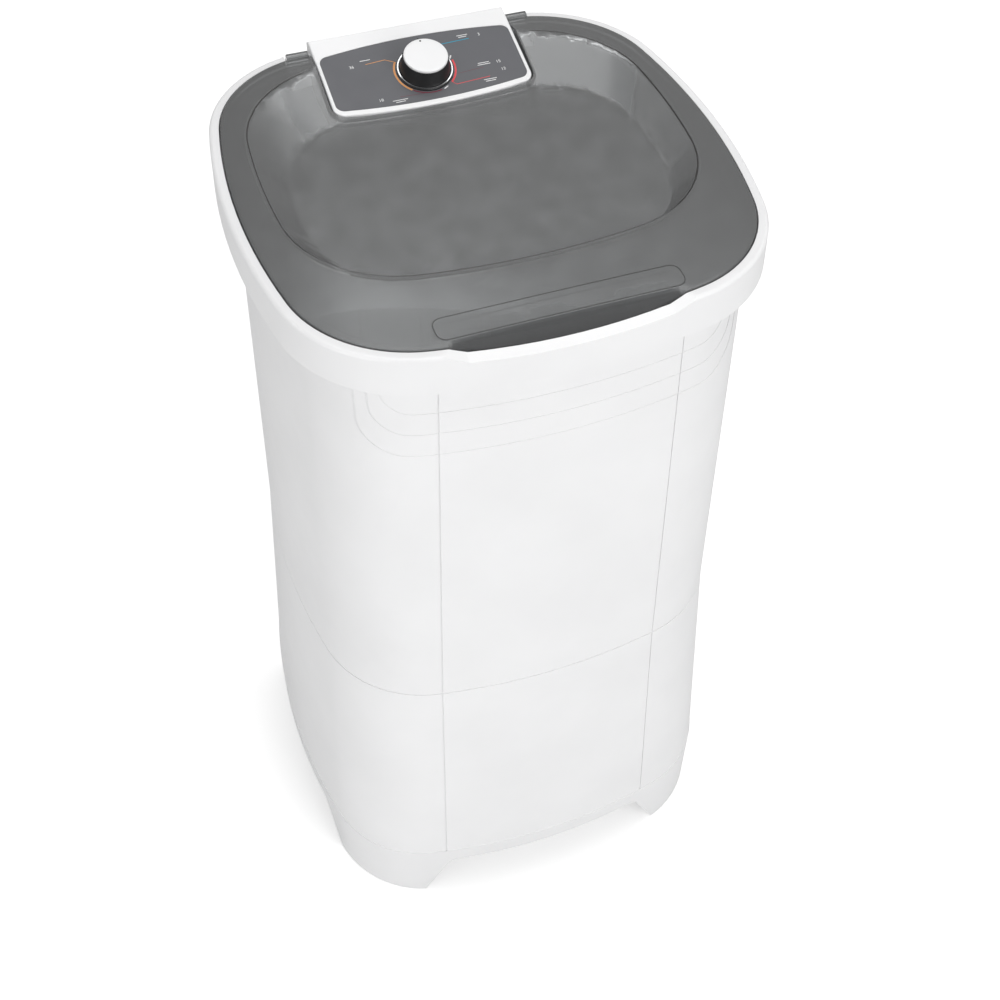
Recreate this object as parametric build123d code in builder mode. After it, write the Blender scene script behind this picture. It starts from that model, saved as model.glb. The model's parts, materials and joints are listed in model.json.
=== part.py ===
from build123d import *
import math
import os

# Semi-automatic washing machine with a top lid: a flared plastic cabinet, a tub hung in it from
# the top, a belt-driven impeller, and a timer console between the hinges of a smoked lid.
# Millimetres, +Z up, front at -Y. The origin is on the floor under the middle of the machine.

# Overall form of the cabinet
base_half_width = 266.0
base_half_depth = 271.0
base_corner = 125.0
top_corner = 111.0
bow_radius = 700.0
rim_height = 950.0
band_height = 41.0
groove_height = 434.0
base_line_height = 101.0
lower_flare = 21.0
upper_flare = 13.7
cabinet_wall = 3.5
skirt_step = 0.8

# Foot arches in the skirt
arch_height = 76.0
front_arch_top = 128.0
front_arch_bottom = 163.0
side_arch_top = 118.0
side_arch_bottom = 155.0
arch_radius = 16.0
pad_radius = 19.0
pad_stem_radius = 8.0
pad_proud = 1.5
sole_thickness = 4.0
sole_width = 45.0

# Grooves of the cabinet's front
groove_x_top = 118.0
groove_x_middle = 126.6
groove_x_base = 134.0
groove_width = 1.6
groove_depth = 0.8
pressed_line_width = 1.2
pressed_line_depth = 0.4
pressed_lines = ((187.0, 816.0, 40.0), (177.0, 843.0, 34.0), (167.5, 869.0, 28.0))

# Top rim
rim_overhang = 17.0
rim_corner = 133.0
rim_wall = 3.0
rim_edge_radius = 4.0
rim_boss_radius = 5.5
rim_screw_inset = 10.0
rim_screw_x = 70.0
band_flare = 1.4
recess_inset = 9.8
throat_inset = 30.0
ledge_top = 938.0
ledge_thickness = 4.0
saddle_half_width = 134.0
saddle_top = 926.0
scoop_depth = 7.0
scoop_tilt = 18.0
scoop_half_top = 117.0
scoop_half_bottom = 94.0

# Tub
tub_gap = 2.7
tub_wall = 2.5
tub_flange = 3.4
tub_flange_inset = 6.0
cabinet_flange = 3.5
cabinet_flange_inset = 5.0
tub_floor_top = 402.0
tub_floor_thickness = 4.0
tub_bottom_narrowing = 26.0
tub_bottom_radius = 36.0
well_radius = 150.0
well_depth = 12.0
rib_radius = 7.0
rib_spacing = 78.0
rib_bottom = 455.0
rib_top = 880.0
hub_boss_radius = 52.0
hub_boss_depth = 10.0
drain_x = -118.0
drain_y = 122.0
spout_bottom = 362.0

# Lint filter on the tub's left wall
filter_width = 84.0
filter_thickness = 16.0
filter_height = 130.0
filter_back_x = -204.0
filter_bottom = 606.0
filter_wall = 2.0
rail_top = 760.0
rail_width = 4.0
rail_lip = 7.0
shelf_thickness = 6.0

# Lid
lid_gap = 1.0
lid_wall = 3.0
lid_edge_top = 951.8
lid_step_height = 956.0
lid_floor_height = 934.5
step_half_width = 209.0
step_front = -150.0
step_back = 208.0
step_corner = 118.0
floor_half_width = 178.0
floor_front = -138.0
floor_back = 136.0
floor_corner = 92.0
hinge_y = 232.0
hinge_z = 949.5
barrel_radius = 5.5
hinge_pin_radius = 2.5
ear_inner = 109.5
ear_outer = 132.0
notch_gap = 2.0
notch_skirt_bottom = 920.5
notch_skirt_back = 212.0
handle_half_width = 116.0
handle_back = -199.0
handle_front = -226.0
handle_corner = 9.0
handle_raise = 0.6
lip_top_y = -227.0
lip_bottom_y = -241.0
lip_bottom_z = 941.5
lip_half_width = 104.0
lip_end_slope = 1.2

# Console
console_half_width = 107.0
console_front = 129.0
console_corner = 12.0
console_wall = 2.6
console_slope = 13.9
knob_y = 175.0
knob_panel_z = 946.6
console_ridge_y = 238.0
console_rear_z = 951.0
panel_side = 103.0
panel_front = -41.4
panel_back = 46.5
panel_corner = 9.0
panel_thickness = 0.8
panel_recess = 1.0
base_plate_thickness = 3.0
front_boss_x = 92.0
front_boss_y = 148.0
rear_boss_x = 60.0
rear_boss_y = 238.0
boss_radius = 4.5
pin_boss_radius = 6.0
pin_inner = 94.0
pin_outer = 133.2

# Timer and knob
timer_half_width = 26.0
timer_front = 165.0
timer_back = 207.0
timer_bottom = 893.0
timer_top = 934.0
timer_corner = 8.0
timer_wall = 2.0
timer_lip = 6.0
timer_body_width = 40.0
timer_body_low = -9.0
timer_body_high = 20.0
timer_body_depth = 26.0
timer_plate_depth = 6.5
timer_plate_thickness = 1.5
timer_plate_width = 60.0
timer_screw_x = 26.0
timer_screw_v = 5.5
timer_shaft_radius = 3.0
timer_shaft_depth = 30.0
bezel_radius = 30.0
bezel_height = 1.2
trim_inner = 27.7
trim_outer = 28.9
trim_height = 0.9
knob_base_radius = 27.0
knob_top_radius = 23.6
knob_height = 17.5
cap_radius = 23.0
cap_top = 20.3
knob_wall = 2.4

# Drive
shaft_radius = 7.0
shaft_bottom = 200.0
bush_outer_radius = 11.0
bush_length = 20.0
upper_bush_top = 382.0
seal_radius = 14.0
seal_height = 8.0
bearing_tube_radius = 17.0
bearing_flange_thickness = 7.0
bearing_bottom = 290.0
bearing_top = 396.0
bolt_circle = 44.0
gasket_thickness = 2.0
impeller_radius = 140.0
impeller_clearance = 4.0
impeller_thickness = 4.0
impeller_hub_radius = 34.0
impeller_height = 42.0
impeller_socket = 20.0
vane_count = 5
vane_width = 11.0
shaft_bolt_radius = 4.0
pulley_plane = 222.0
driven_radius = 130.0
drive_radius = 27.0
pulley_width = 20.0
groove_half_angle = 17.0
belt_width = 10.0
belt_height = 7.0
belt_slack = 0.7
motor_distance = 172.0
motor_angle = 45.0
motor_radius = 64.0
motor_bottom = 258.0
motor_top = 343.0
motor_shaft_radius = 6.0
rotor_radius = 36.0
stator_bottom = 280.0
stator_top = 322.0
end_shield_wall = 3.0
fan_bottom = 240.0
fan_radius = 48.0
fan_blades = 7
mount_spacing = 70.0
mount_radius = 9.0
bracket_thickness = 3.0
bracket_start = 38.0
bracket_end = 240.0
bracket_half_width = 95.0
bracket_lip = 12.0
near_bolt_reach = 105.0
near_bolt_side = 80.0
far_bolt_reach = 170.0
far_bolt_side = 45.0
capacitor_reach = 62.0
capacitor_radius = 20.0
capacitor_length = 80.0

# Drain and cord inlet in the back
drain_z = 152.0
spigot_radius = 12.0
spigot_bore = 9.5
spigot_end_y = 266.0
spigot_flange_radius = 18.0
hose_wall = 3.0
hose_bend = 80.0
clamp_width = 8.0
clamp_thickness = 1.5
cord_inlet_x = -62.0
cord_hole_width = 15.0
cord_hole_corner = 2.0
cord_bore = 3.5
grommet_radius = 11.0
grommet_lip = 2.0
pocket_width = 124.0
pocket_height = 66.0
pocket_corner = 14.0
pocket_floor_y = 246.0

# Clearances and screws
seat_gap = 0.3
running_gap = 0.05
screw_radius = 2.0
screw_head_radius = 4.0
screw_play = 0.3

# Worked-out sizes
body_top_height = rim_height - band_height
cabinet_top = 915.7
flange_bottom = cabinet_top + seat_gap
flange_top = flange_bottom + tub_flange
slope = math.radians(console_slope)
motor_x = motor_distance * math.cos(math.radians(motor_angle))
motor_y = motor_distance * math.sin(math.radians(motor_angle))
tub_inset = rim_overhang + cabinet_wall + tub_gap
tub_base_inset = tub_inset + tub_bottom_narrowing
tub_bottom = tub_floor_top - tub_floor_thickness
tub_height = flange_bottom - tub_bottom
well_floor = tub_floor_top - well_depth
well_underside = well_floor - tub_floor_thickness
hub_boss_bottom = well_underside - hub_boss_depth
bearing_flange_top = hub_boss_bottom - seat_gap - gasket_thickness
bracket_top = well_underside - 36.0
bracket_bottom = bracket_top - bracket_thickness

panel_plane = Plane(
    origin=(0, knob_y, knob_panel_z),
    x_dir=(1, 0, 0),
    z_dir=(0, -math.sin(slope), math.cos(slope)),
)
drive_plane = Plane(origin=(0, 0, 0), x_dir=(motor_x, motor_y, 0), z_dir=(0, 0, 1))
upward = (Align.CENTER, Align.CENTER, Align.MIN)


def body_form(height):
    """Half width, half depth and corner radius of the cabinet at a height."""
    groove = (base_half_width - lower_flare, base_half_depth - lower_flare, base_corner)
    if height <= base_line_height:
        return (base_half_width, base_half_depth, base_corner)
    if height <= groove_height:
        share = (height - base_line_height) / (groove_height - base_line_height)
        return (
            base_half_width - lower_flare * share,
            base_half_depth - lower_flare * share,
            base_corner,
        )
    share = (height - groove_height) / (body_top_height - groove_height)
    return (
        groove[0] - upper_flare * share,
        groove[1] - upper_flare * share,
        base_corner - (base_corner - top_corner) * share,
    )


rim_form = (
    base_half_width - lower_flare - upper_flare + rim_overhang,
    base_half_depth - lower_flare - upper_flare + rim_overhang,
    rim_corner,
)


def corner_centre(form, inset=0.0):
    """Centre of the rear right corner's arc, where it meets both bowed sides smoothly."""
    half_width, half_depth, corner = (size - inset for size in form)
    bow = bow_radius - inset
    side_x = bow - half_width
    front_y = bow - half_depth
    span = math.hypot(side_x, front_y)
    lift = math.sqrt((bow - corner) ** 2 - (span / 2) ** 2)
    return front_y / span * lift - side_x / 2, side_x / span * lift - front_y / 2


def bowed_square(form, inset=0.0, centre_y=0.0, mode=Mode.ADD):
    """Rounded square with bowed sides, added to the open sketch, drawn in by the inset."""
    half_width, half_depth, corner = (size - inset for size in form)
    bow = bow_radius - inset
    side_x = bow - half_width
    front_y = bow - half_depth
    corner_x, corner_y = corner_centre(form, inset)
    side_angle = math.degrees(math.atan2(corner_y, corner_x + side_x))
    front_angle = math.degrees(math.atan2(corner_y + front_y, corner_x))
    turn = front_angle - side_angle
    front_turn = 180 - 2 * front_angle
    with BuildLine() as outline:
        CenterArc((-side_x, centre_y), bow, -side_angle, 2 * side_angle)
        CenterArc((corner_x, centre_y + corner_y), corner, side_angle, turn)
        CenterArc((0, centre_y - front_y), bow, front_angle, front_turn)
        CenterArc((-corner_x, centre_y + corner_y), corner, 180 - front_angle, turn)
        CenterArc((side_x, centre_y), bow, 180 - side_angle, 2 * side_angle)
        CenterArc((-corner_x, centre_y - corner_y), corner, 180 + side_angle, turn)
        CenterArc((0, centre_y + front_y), bow, 180 + front_angle, front_turn)
        CenterArc((corner_x, centre_y - corner_y), corner, 360 - front_angle, turn)
    make_face(outline.edges(), mode=mode)


def bowed_loft(sections, mode=Mode.ADD):
    """Ruled loft through bowed squares: height, form, inset and, off the middle, the centre's y."""
    faces = []
    for height, form, *place in sections:
        with BuildSketch(Plane.XY.offset(height)) as section:
            bowed_square(form, *place)
        faces.append(section.sketch)
    loft(faces, ruled=True, mode=mode)


def bowed_ring(height, form, outer_inset, inner_inset, amount, mode=Mode.ADD):
    """Upright ring between two insets of one form."""
    with BuildSketch(Plane.XY.offset(height)) as ring:
        bowed_square(form, outer_inset)
        bowed_square(form, inner_inset, mode=Mode.SUBTRACT)
    extrude(ring.sketch, amount=amount, mode=mode)


def body_loft(bottom, top, inset, mode=Mode.ADD):
    """The cabinet's form from one height to another, drawn in by the inset."""
    levels = [bottom, base_line_height, groove_height, top]
    for low, high in zip(levels, levels[1:]):
        if high > low:
            bowed_loft([(low, body_form(low), inset), (high, body_form(high), inset)], mode)


def side_reach(half, inset, across):
    """Distance from the middle plane out to a bowed side, at a place along that side."""
    bow = bow_radius - inset
    return math.sqrt(bow**2 - across**2) - (bow_radius - half)


def corner_spots(form, inset):
    """The four points on the corners' diagonals, drawn in by the inset."""
    centre_x, centre_y = corner_centre(form)
    reach = (form[2] - inset) * math.sqrt(0.5)
    return [
        (side * (centre_x + reach), end * (centre_y + reach))
        for side in (-1, 1)
        for end in (-1, 1)
    ]


def screws(spots, seat, length, head_radius, shank_radius, up=True):
    """Screws with their heads seated at a height, pointing up or down."""
    sense = 1 if up else -1
    head = 0.7 * head_radius
    for x, y in spots:
        with Locations((x, y, seat - sense * head / 2)):
            Cylinder(head_radius, head)
        with Locations((x, y, seat + sense * (length / 2 - head_radius / 10))):
            Cylinder(shank_radius, length + head_radius / 5)


def drive_spots(places):
    """Places given along and across the drive's line, as x and y of the machine."""
    spots = [drive_plane.from_local_coords((reach, side, 0)) for reach, side in places]
    return [(spot.X, spot.Y) for spot in spots]


front_screw_y = -side_reach(rim_form[1], rim_screw_inset, rim_screw_x)
rim_screw_spots = corner_spots(rim_form, rim_screw_inset) + [
    (-rim_form[0] + rim_screw_inset, 0),
    (rim_form[0] - rim_screw_inset, 0),
    (-rim_screw_x, front_screw_y),
    (rim_screw_x, front_screw_y),
]

# Cabinet: flared shell, open below, on four corner feet
with BuildPart() as front_lines:
    with BuildSketch(Plane.XZ.offset(150)):
        for side in (-1, 1):
            with BuildLine():
                Polyline(
                    (side * groove_x_top, body_top_height - 4),
                    (side * groove_x_middle, groove_height),
                    (side * groove_x_base, base_line_height),
                )
                offset(amount=groove_width / 2, side=Side.BOTH)
            make_face()
    extrude(amount=200)
    body_loft(base_line_height, body_top_height, groove_depth, mode=Mode.SUBTRACT)

with BuildPart() as pressed:
    with BuildSketch(Plane.XZ.offset(150)):
        for half, bottom, radius in pressed_lines:
            with BuildLine():
                FilletPolyline(
                    (-half, body_top_height),
                    (-half, bottom),
                    (half, bottom),
                    (half, body_top_height),
                    radius=radius,
                )
            trace(line_width=pressed_line_width)
    extrude(amount=200)
    body_loft(groove_height, body_top_height, pressed_line_depth, mode=Mode.SUBTRACT)

pocket_x = (drain_x + cord_inlet_x) / 2
arches = (
    (Plane.XZ, front_arch_top, front_arch_bottom),
    (Plane.YZ, side_arch_top, side_arch_bottom),
)
pad_spots = corner_spots(body_form(0), sole_width / 2)

with BuildPart() as pocket:
    with BuildSketch(Plane.XZ.offset(-pocket_floor_y)):
        with Locations((pocket_x, drain_z)):
            RectangleRounded(pocket_width, pocket_height, pocket_corner)
    extrude(amount=-60)
    bowed_loft(
        [(height, body_form(height), 0) for height in (base_line_height, groove_height)],
        mode=Mode.INTERSECT,
    )

with BuildPart() as cabinet:
    body_loft(pad_proud, cabinet_top, 0)
    bowed_ring(pad_proud, body_form(0), -skirt_step, 1, base_line_height - pad_proud)
    body_loft(0, cabinet_top + 1, cabinet_wall, mode=Mode.SUBTRACT)
    # Flange under the rim that carries the tub's flange
    bowed_ring(
        cabinet_top - cabinet_flange,
        rim_form,
        cabinet_flange_inset,
        rim_overhang + cabinet_wall / 2,
        cabinet_flange,
    )
    with Locations(*[(x, y, cabinet_top) for x, y in rim_screw_spots]):
        Hole(screw_radius + screw_play, cabinet_flange + 1)
    add(pocket.part)
    # Inward soles of the feet
    bowed_ring(pad_proud, body_form(0), 1, sole_width, sole_thickness)
    # Arches through the front and back, then through the sides
    for plane, top_half, bottom_half in arches:
        with BuildSketch(plane):
            with BuildLine():
                Polyline(
                    (-bottom_half - 4, -5),
                    (-bottom_half, 0),
                    (-top_half, arch_height),
                    (top_half, arch_height),
                    (bottom_half, 0),
                    (bottom_half + 4, -5),
                    close=True,
                )
            arch = make_face()
            fillet(arch.vertices().group_by(Axis.Y)[-1], radius=arch_radius)
        extrude(amount=400, both=True, mode=Mode.SUBTRACT)
    # Holes for the pads' stems
    with Locations(*[(x, y, pad_proud + sole_thickness) for x, y in pad_spots]):
        Hole(pad_stem_radius, sole_thickness + 1)
    # Pocket in the back for the drain spigot and the cord's way in
    with BuildSketch(Plane.XZ.offset(-(pocket_floor_y + cabinet_wall))):
        with Locations((pocket_x, drain_z)):
            RectangleRounded(
                pocket_width - 2 * cabinet_wall,
                pocket_height - 2 * cabinet_wall,
                pocket_corner - cabinet_wall,
            )
    extrude(amount=-60, mode=Mode.SUBTRACT)
    with BuildSketch(Plane.XZ.offset(-(pocket_floor_y - 5))):
        with Locations((drain_x, drain_z)):
            Circle(spigot_radius + running_gap)
        # Square, so that the cord's grommet cannot turn in it
        with Locations((cord_inlet_x, drain_z)):
            RectangleRounded(cord_hole_width, cord_hole_width, cord_hole_corner)
    extrude(amount=-20, mode=Mode.SUBTRACT)
    # Lines of the front and the groove all round
    add(front_lines.part, mode=Mode.SUBTRACT)
    add(pressed.part, mode=Mode.SUBTRACT)
    bowed_ring(
        groove_height - groove_width / 2,
        body_form(groove_height),
        -2,
        groove_depth,
        groove_width,
        mode=Mode.SUBTRACT,
    )
cabinet.part.label = "cabinet"

# Rubber pads snapped into the soles
with BuildPart() as foot_pads:
    with Locations(*[(x, y, 0) for x, y in pad_spots]):
        Cylinder(pad_radius, pad_proud, align=upward)
        Cylinder(pad_stem_radius - running_gap, pad_proud + sole_thickness + seat_gap, align=upward)
    with Locations(*[(x, y, pad_proud + sole_thickness + seat_gap) for x, y in pad_spots]):
        Cone(pad_stem_radius + 2.5, pad_stem_radius - 2, 6, align=upward)
foot_pads.part.label = "foot_pads"

# Top rim: hollow band, ledge for the lid, throat into the tub, and a low saddle at the back that
# carries the console and leaves room for the hinges
rib_outer = rim_overhang
rib_inner = rim_overhang + 3
ledge_bottom = ledge_top - ledge_thickness
saddle_outline = (2 * (saddle_half_width + rim_wall), 120.0)
scoop_plane = Plane(
    origin=(0, -(rim_form[1] - recess_inset - 2), rim_height),
    x_dir=(1, 0, 0),
    z_dir=(0, -math.cos(math.radians(scoop_tilt)), -math.sin(math.radians(scoop_tilt))),
)

with BuildPart() as top_rim:
    bowed_loft([(body_top_height, rim_form, -band_flare), (rim_height, rim_form, 0)])
    fillet(top_rim.faces().sort_by(Axis.Z)[-1].edges(), radius=rim_edge_radius)
    with BuildSketch(Plane.XY.offset(rim_height)):
        bowed_square(rim_form, recess_inset)
    extrude(amount=ledge_top - rim_height, mode=Mode.SUBTRACT)
    with BuildSketch(Plane.XY.offset(rim_height)):
        bowed_square(rim_form, throat_inset)
    extrude(amount=-band_height - 1, mode=Mode.SUBTRACT)
    bowed_ring(
        body_top_height,
        rim_form,
        rim_wall,
        throat_inset - rim_wall,
        ledge_bottom - body_top_height,
        mode=Mode.SUBTRACT,
    )
    bowed_ring(
        ledge_bottom,
        rim_form,
        rim_wall,
        recess_inset - rim_wall,
        rim_height - rim_wall - ledge_bottom,
        mode=Mode.SUBTRACT,
    )
    bowed_ring(
        flange_top + seat_gap,
        rim_form,
        rib_outer,
        rib_inner,
        ledge_bottom - flange_top - seat_gap,
    )
    with Locations(*[(x, y, flange_top + seat_gap) for x, y in rim_screw_spots]):
        Cylinder(rim_boss_radius, ledge_bottom - flange_top - seat_gap, align=upward)
        Hole(screw_radius, 2 * (ledge_bottom - flange_top) - 4)
    # Solid front under the finger scoop, then the scoop
    with BuildSketch(Plane.XY.offset(ledge_bottom)):
        bowed_square(rim_form, 1)
        bowed_square(rim_form, recess_inset, mode=Mode.SUBTRACT)
        with Locations((0, -rim_form[1])):
            Rectangle(2 * scoop_half_top + 8, 100, mode=Mode.INTERSECT)
    extrude(amount=rim_height - rim_wall - ledge_bottom)
    with BuildSketch(scoop_plane):
        with BuildLine():
            Polyline(
                (-scoop_half_top, 0),
                (-scoop_half_bottom, -scoop_depth),
                (scoop_half_bottom, -scoop_depth),
                (scoop_half_top, 0),
                (scoop_half_top, 20),
                (-scoop_half_top, 20),
                close=True,
            )
        make_face()
    extrude(amount=40, both=True, mode=Mode.SUBTRACT)
    # Saddle
    with BuildSketch(Plane.XY.offset(saddle_top)):
        with Locations((0, rim_form[1])):
            Rectangle(2 * saddle_half_width, saddle_outline[1])
    extrude(amount=60, mode=Mode.SUBTRACT)
    with BuildSketch(Plane.XY.offset(saddle_top - rim_wall)):
        bowed_square(rim_form, 0)
        bowed_square(rim_form, throat_inset, mode=Mode.SUBTRACT)
        with Locations((0, rim_form[1])):
            Rectangle(*saddle_outline, mode=Mode.INTERSECT)
    extrude(amount=rim_wall)
    with BuildSketch(Plane.XY.offset(saddle_top)):
        bowed_square(rim_form, 0)
        bowed_square(rim_form, recess_inset, mode=Mode.SUBTRACT)
        with Locations((0, rim_form[1])):
            Rectangle(*saddle_outline, mode=Mode.INTERSECT)
            Rectangle(2 * saddle_half_width, saddle_outline[1], mode=Mode.SUBTRACT)
    extrude(amount=rim_height - rim_wall / 2 - saddle_top)
    with Locations((-rear_boss_x, rear_boss_y, saddle_top), (rear_boss_x, rear_boss_y, saddle_top)):
        Hole(screw_radius + screw_play, rim_wall + 1)
top_rim.part.label = "top_rim"

# Tub hung by its flange from the cabinet's top, with a round well for the impeller
tub_tilt = math.degrees(math.atan(tub_bottom_narrowing / tub_height))
rib_middle = (rib_bottom + rib_top) / 2
rib_inset = tub_inset + tub_wall + tub_bottom_narrowing * (flange_bottom - rib_middle) / tub_height
rib_places = []
for across in (-rib_spacing, 0, rib_spacing):
    reach_x = side_reach(rim_form[0], rib_inset, across)
    reach_y = side_reach(rim_form[1], rib_inset, across)
    rib_places.append(Location((across, reach_y, rib_middle), (-tub_tilt, 0, 0)))
    rib_places.append(Location((across, -reach_y, rib_middle), (tub_tilt, 0, 0)))
    rib_places.append(Location((reach_x, across, rib_middle), (0, tub_tilt, 0)))
    if across != 0:
        rib_places.append(Location((-reach_x, across, rib_middle), (0, -tub_tilt, 0)))
bearing_bolts = [
    (bolt_circle * math.cos(math.radians(turn)), bolt_circle * math.sin(math.radians(turn)))
    for turn in range(0, 360, 60)
]
near_bolts = [(near_bolt_reach, -near_bolt_side), (near_bolt_reach, near_bolt_side)]
far_bolts = [(far_bolt_reach, -far_bolt_side), (far_bolt_reach, far_bolt_side)]
bracket_bolts = drive_spots(near_bolts + far_bolts)
shelf_depth = filter_thickness + 2 * seat_gap + rail_width
rail_y = filter_width / 2 + seat_gap

with BuildPart() as tub_ribs:
    with Locations(*rib_places):
        Cylinder(rib_radius, rib_top - rib_bottom)
    chamfer(tub_ribs.edges().filter_by(GeomType.CIRCLE), rib_radius - 1)
    bowed_loft(
        [
            (tub_bottom, rim_form, tub_base_inset + tub_wall / 2),
            (flange_bottom, rim_form, tub_inset + tub_wall / 2),
        ],
        mode=Mode.INTERSECT,
    )

# Pad, shelf and lipped rails that the lint filter slides down into
with BuildPart() as filter_holder:
    with BuildSketch(Plane.XY.offset(filter_bottom - shelf_thickness)):
        with Locations((filter_back_x, 0)):
            Rectangle(60, 2 * (rail_y + rail_width), align=(Align.MAX, Align.CENTER))
            Rectangle(shelf_depth, 2 * (rail_y + rail_width), align=(Align.MIN, Align.CENTER))
    extrude(amount=rail_top - filter_bottom + shelf_thickness)
    with BuildSketch(Plane.XY.offset(filter_bottom)):
        with Locations((filter_back_x, 0)):
            Rectangle(
                filter_thickness + 2 * seat_gap, 2 * rail_y, align=(Align.MIN, Align.CENTER)
            )
            Rectangle(
                shelf_depth, 2 * (rail_y + rail_width - rail_lip), align=(Align.MIN, Align.CENTER)
            )
    extrude(amount=rail_top, mode=Mode.SUBTRACT)
    bowed_loft(
        [
            (tub_bottom, rim_form, tub_base_inset + tub_wall / 2),
            (flange_bottom, rim_form, tub_inset + tub_wall / 2),
        ],
        mode=Mode.INTERSECT,
    )

with BuildPart() as tub_hollow:
    bowed_loft(
        [
            (tub_floor_top, rim_form, tub_base_inset + tub_wall),
            (flange_bottom, rim_form, tub_inset + tub_wall),
            (flange_top + 1, rim_form, tub_inset + tub_wall),
        ]
    )
    fillet(tub_hollow.faces().sort_by(Axis.Z)[0].edges(), radius=tub_bottom_radius - tub_wall)

with BuildPart() as tub:
    bowed_loft([(tub_bottom, rim_form, tub_base_inset), (flange_bottom, rim_form, tub_inset)])
    fillet(tub.faces().sort_by(Axis.Z)[0].edges(), radius=tub_bottom_radius)
    with BuildSketch(Plane.XY.offset(flange_bottom)):
        bowed_square(rim_form, tub_flange_inset)
    extrude(amount=tub_flange)
    with Locations((0, 0, well_underside)):
        Cylinder(well_radius + tub_floor_thickness, well_depth, align=upward)
    with Locations((0, 0, hub_boss_bottom)):
        Cylinder(hub_boss_radius, hub_boss_depth + 1, align=upward)
    with Locations((drain_x, drain_y, spout_bottom)):
        Cylinder(spigot_radius, tub_bottom - spout_bottom + 1, align=upward)
    with BuildSketch(drive_plane.offset(bracket_top)):
        with Locations(*near_bolts, *far_bolts):
            Circle(mount_radius)
    extrude(amount=well_underside - bracket_top + 1)
    with BuildSketch(drive_plane.offset(bracket_top)):
        with Locations(*far_bolts):
            Circle(mount_radius)
    extrude(amount=tub_bottom - bracket_top + 1)
    add(tub_hollow.part, mode=Mode.SUBTRACT)
    with Locations((0, 0, well_floor)):
        Cylinder(well_radius, well_depth + 1, align=upward, mode=Mode.SUBTRACT)
        Hole(bearing_tube_radius + seat_gap, 30)
    with Locations((drain_x, drain_y, tub_floor_top)):
        Hole(spigot_bore, tub_floor_top)
    with Locations(*[(x, y, hub_boss_bottom) for x, y in bearing_bolts]):
        Cylinder(screw_radius, hub_boss_depth, align=upward, mode=Mode.SUBTRACT)
    with Locations(*[(x, y, bracket_top) for x, y in bracket_bolts]):
        Cylinder(screw_radius, 24, align=upward, mode=Mode.SUBTRACT)
    with Locations(*[(x, y, flange_top) for x, y in rim_screw_spots]):
        Hole(screw_radius + screw_play, tub_flange + 1)
    add(tub_ribs.part)
    add(filter_holder.part)
tub.part.label = "tub"

# Lint filter: a box with windows for the water and a grip on top
with BuildPart() as lint_filter:
    with Locations((filter_back_x + seat_gap, 0, filter_bottom + seat_gap)):
        Box(
            filter_thickness,
            filter_width,
            filter_height,
            align=(Align.MIN, Align.CENTER, Align.MIN),
        )
    offset(amount=-filter_wall, openings=lint_filter.faces().sort_by(Axis.X)[0])
    with BuildSketch(Plane.YZ.offset(filter_back_x)):
        with Locations((0, filter_bottom + filter_height / 2)):
            with GridLocations(17, 18, 4, 6):
                SlotOverall(13, 9, rotation=90)
    extrude(amount=2 * filter_thickness, mode=Mode.SUBTRACT)
    with BuildSketch(Plane.XZ):
        with Locations((filter_back_x + seat_gap, filter_bottom + seat_gap + filter_height)):
            Rectangle(filter_thickness, 14, align=(Align.MIN, Align.MIN))
        with Locations(
            (filter_back_x + filter_thickness / 2, filter_bottom + filter_height + 8)
        ):
            Circle(4, mode=Mode.SUBTRACT)
    extrude(amount=16, both=True)
lint_filter.part.label = "lint_filter"

# Lid: smoked plastic, flanged, crowned and dished, cut out round the console
step_form = (step_half_width, (step_back - step_front) / 2, step_corner)
step_centre = (step_back + step_front) / 2
floor_form = (floor_half_width, (floor_back - floor_front) / 2, floor_corner)
floor_centre = (floor_back + floor_front) / 2
lid_inset = recess_inset + lid_gap
lid_bottom = ledge_top + seat_gap
lid_edge_inset = lid_inset + 2.7
lid_edge_y = -(rim_form[1] - lid_edge_inset)
crown_rise = (lid_step_height - lid_edge_top) / (step_front - lid_edge_y)
lip_top_z = lid_edge_top + crown_rise * (lip_top_y - lid_edge_y)
lip_rise = lip_top_z - lip_bottom_z
lip_run = lip_top_y - lip_bottom_y
lip_length = math.hypot(lip_rise, lip_run)


def lip_wedge(depth):
    """The space before the lip's slanted face, moved into the lid by a depth."""
    shift_y = depth * lip_rise / lip_length
    shift_z = -depth * lip_run / lip_length
    top = (lip_top_y + lip_run + shift_y, lip_top_z + lip_rise + shift_z)
    bottom = (lip_bottom_y - lip_run / 2 + shift_y, lip_bottom_z - lip_rise / 2 + shift_z)
    middle_z = (lip_top_z + lip_bottom_z) / 2
    half = lip_half_width + depth
    far_y = -rim_form[1] - 10
    with BuildPart() as wedge:
        with BuildSketch(Plane.YZ):
            with BuildLine():
                Polyline(top, bottom, (far_y, bottom[1]), (far_y, top[1]), close=True)
            make_face()
        extrude(amount=200, both=True)
        with BuildSketch(Plane.XZ.offset(150)):
            with BuildLine():
                Polyline(
                    (-half - 20 * lip_end_slope, middle_z + 20),
                    (-half + 20 * lip_end_slope, middle_z - 20),
                    (half - 20 * lip_end_slope, middle_z - 20),
                    (half + 20 * lip_end_slope, middle_z + 20),
                    close=True,
                )
            make_face()
        extrude(amount=150, mode=Mode.INTERSECT)
    return wedge.part


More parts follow.
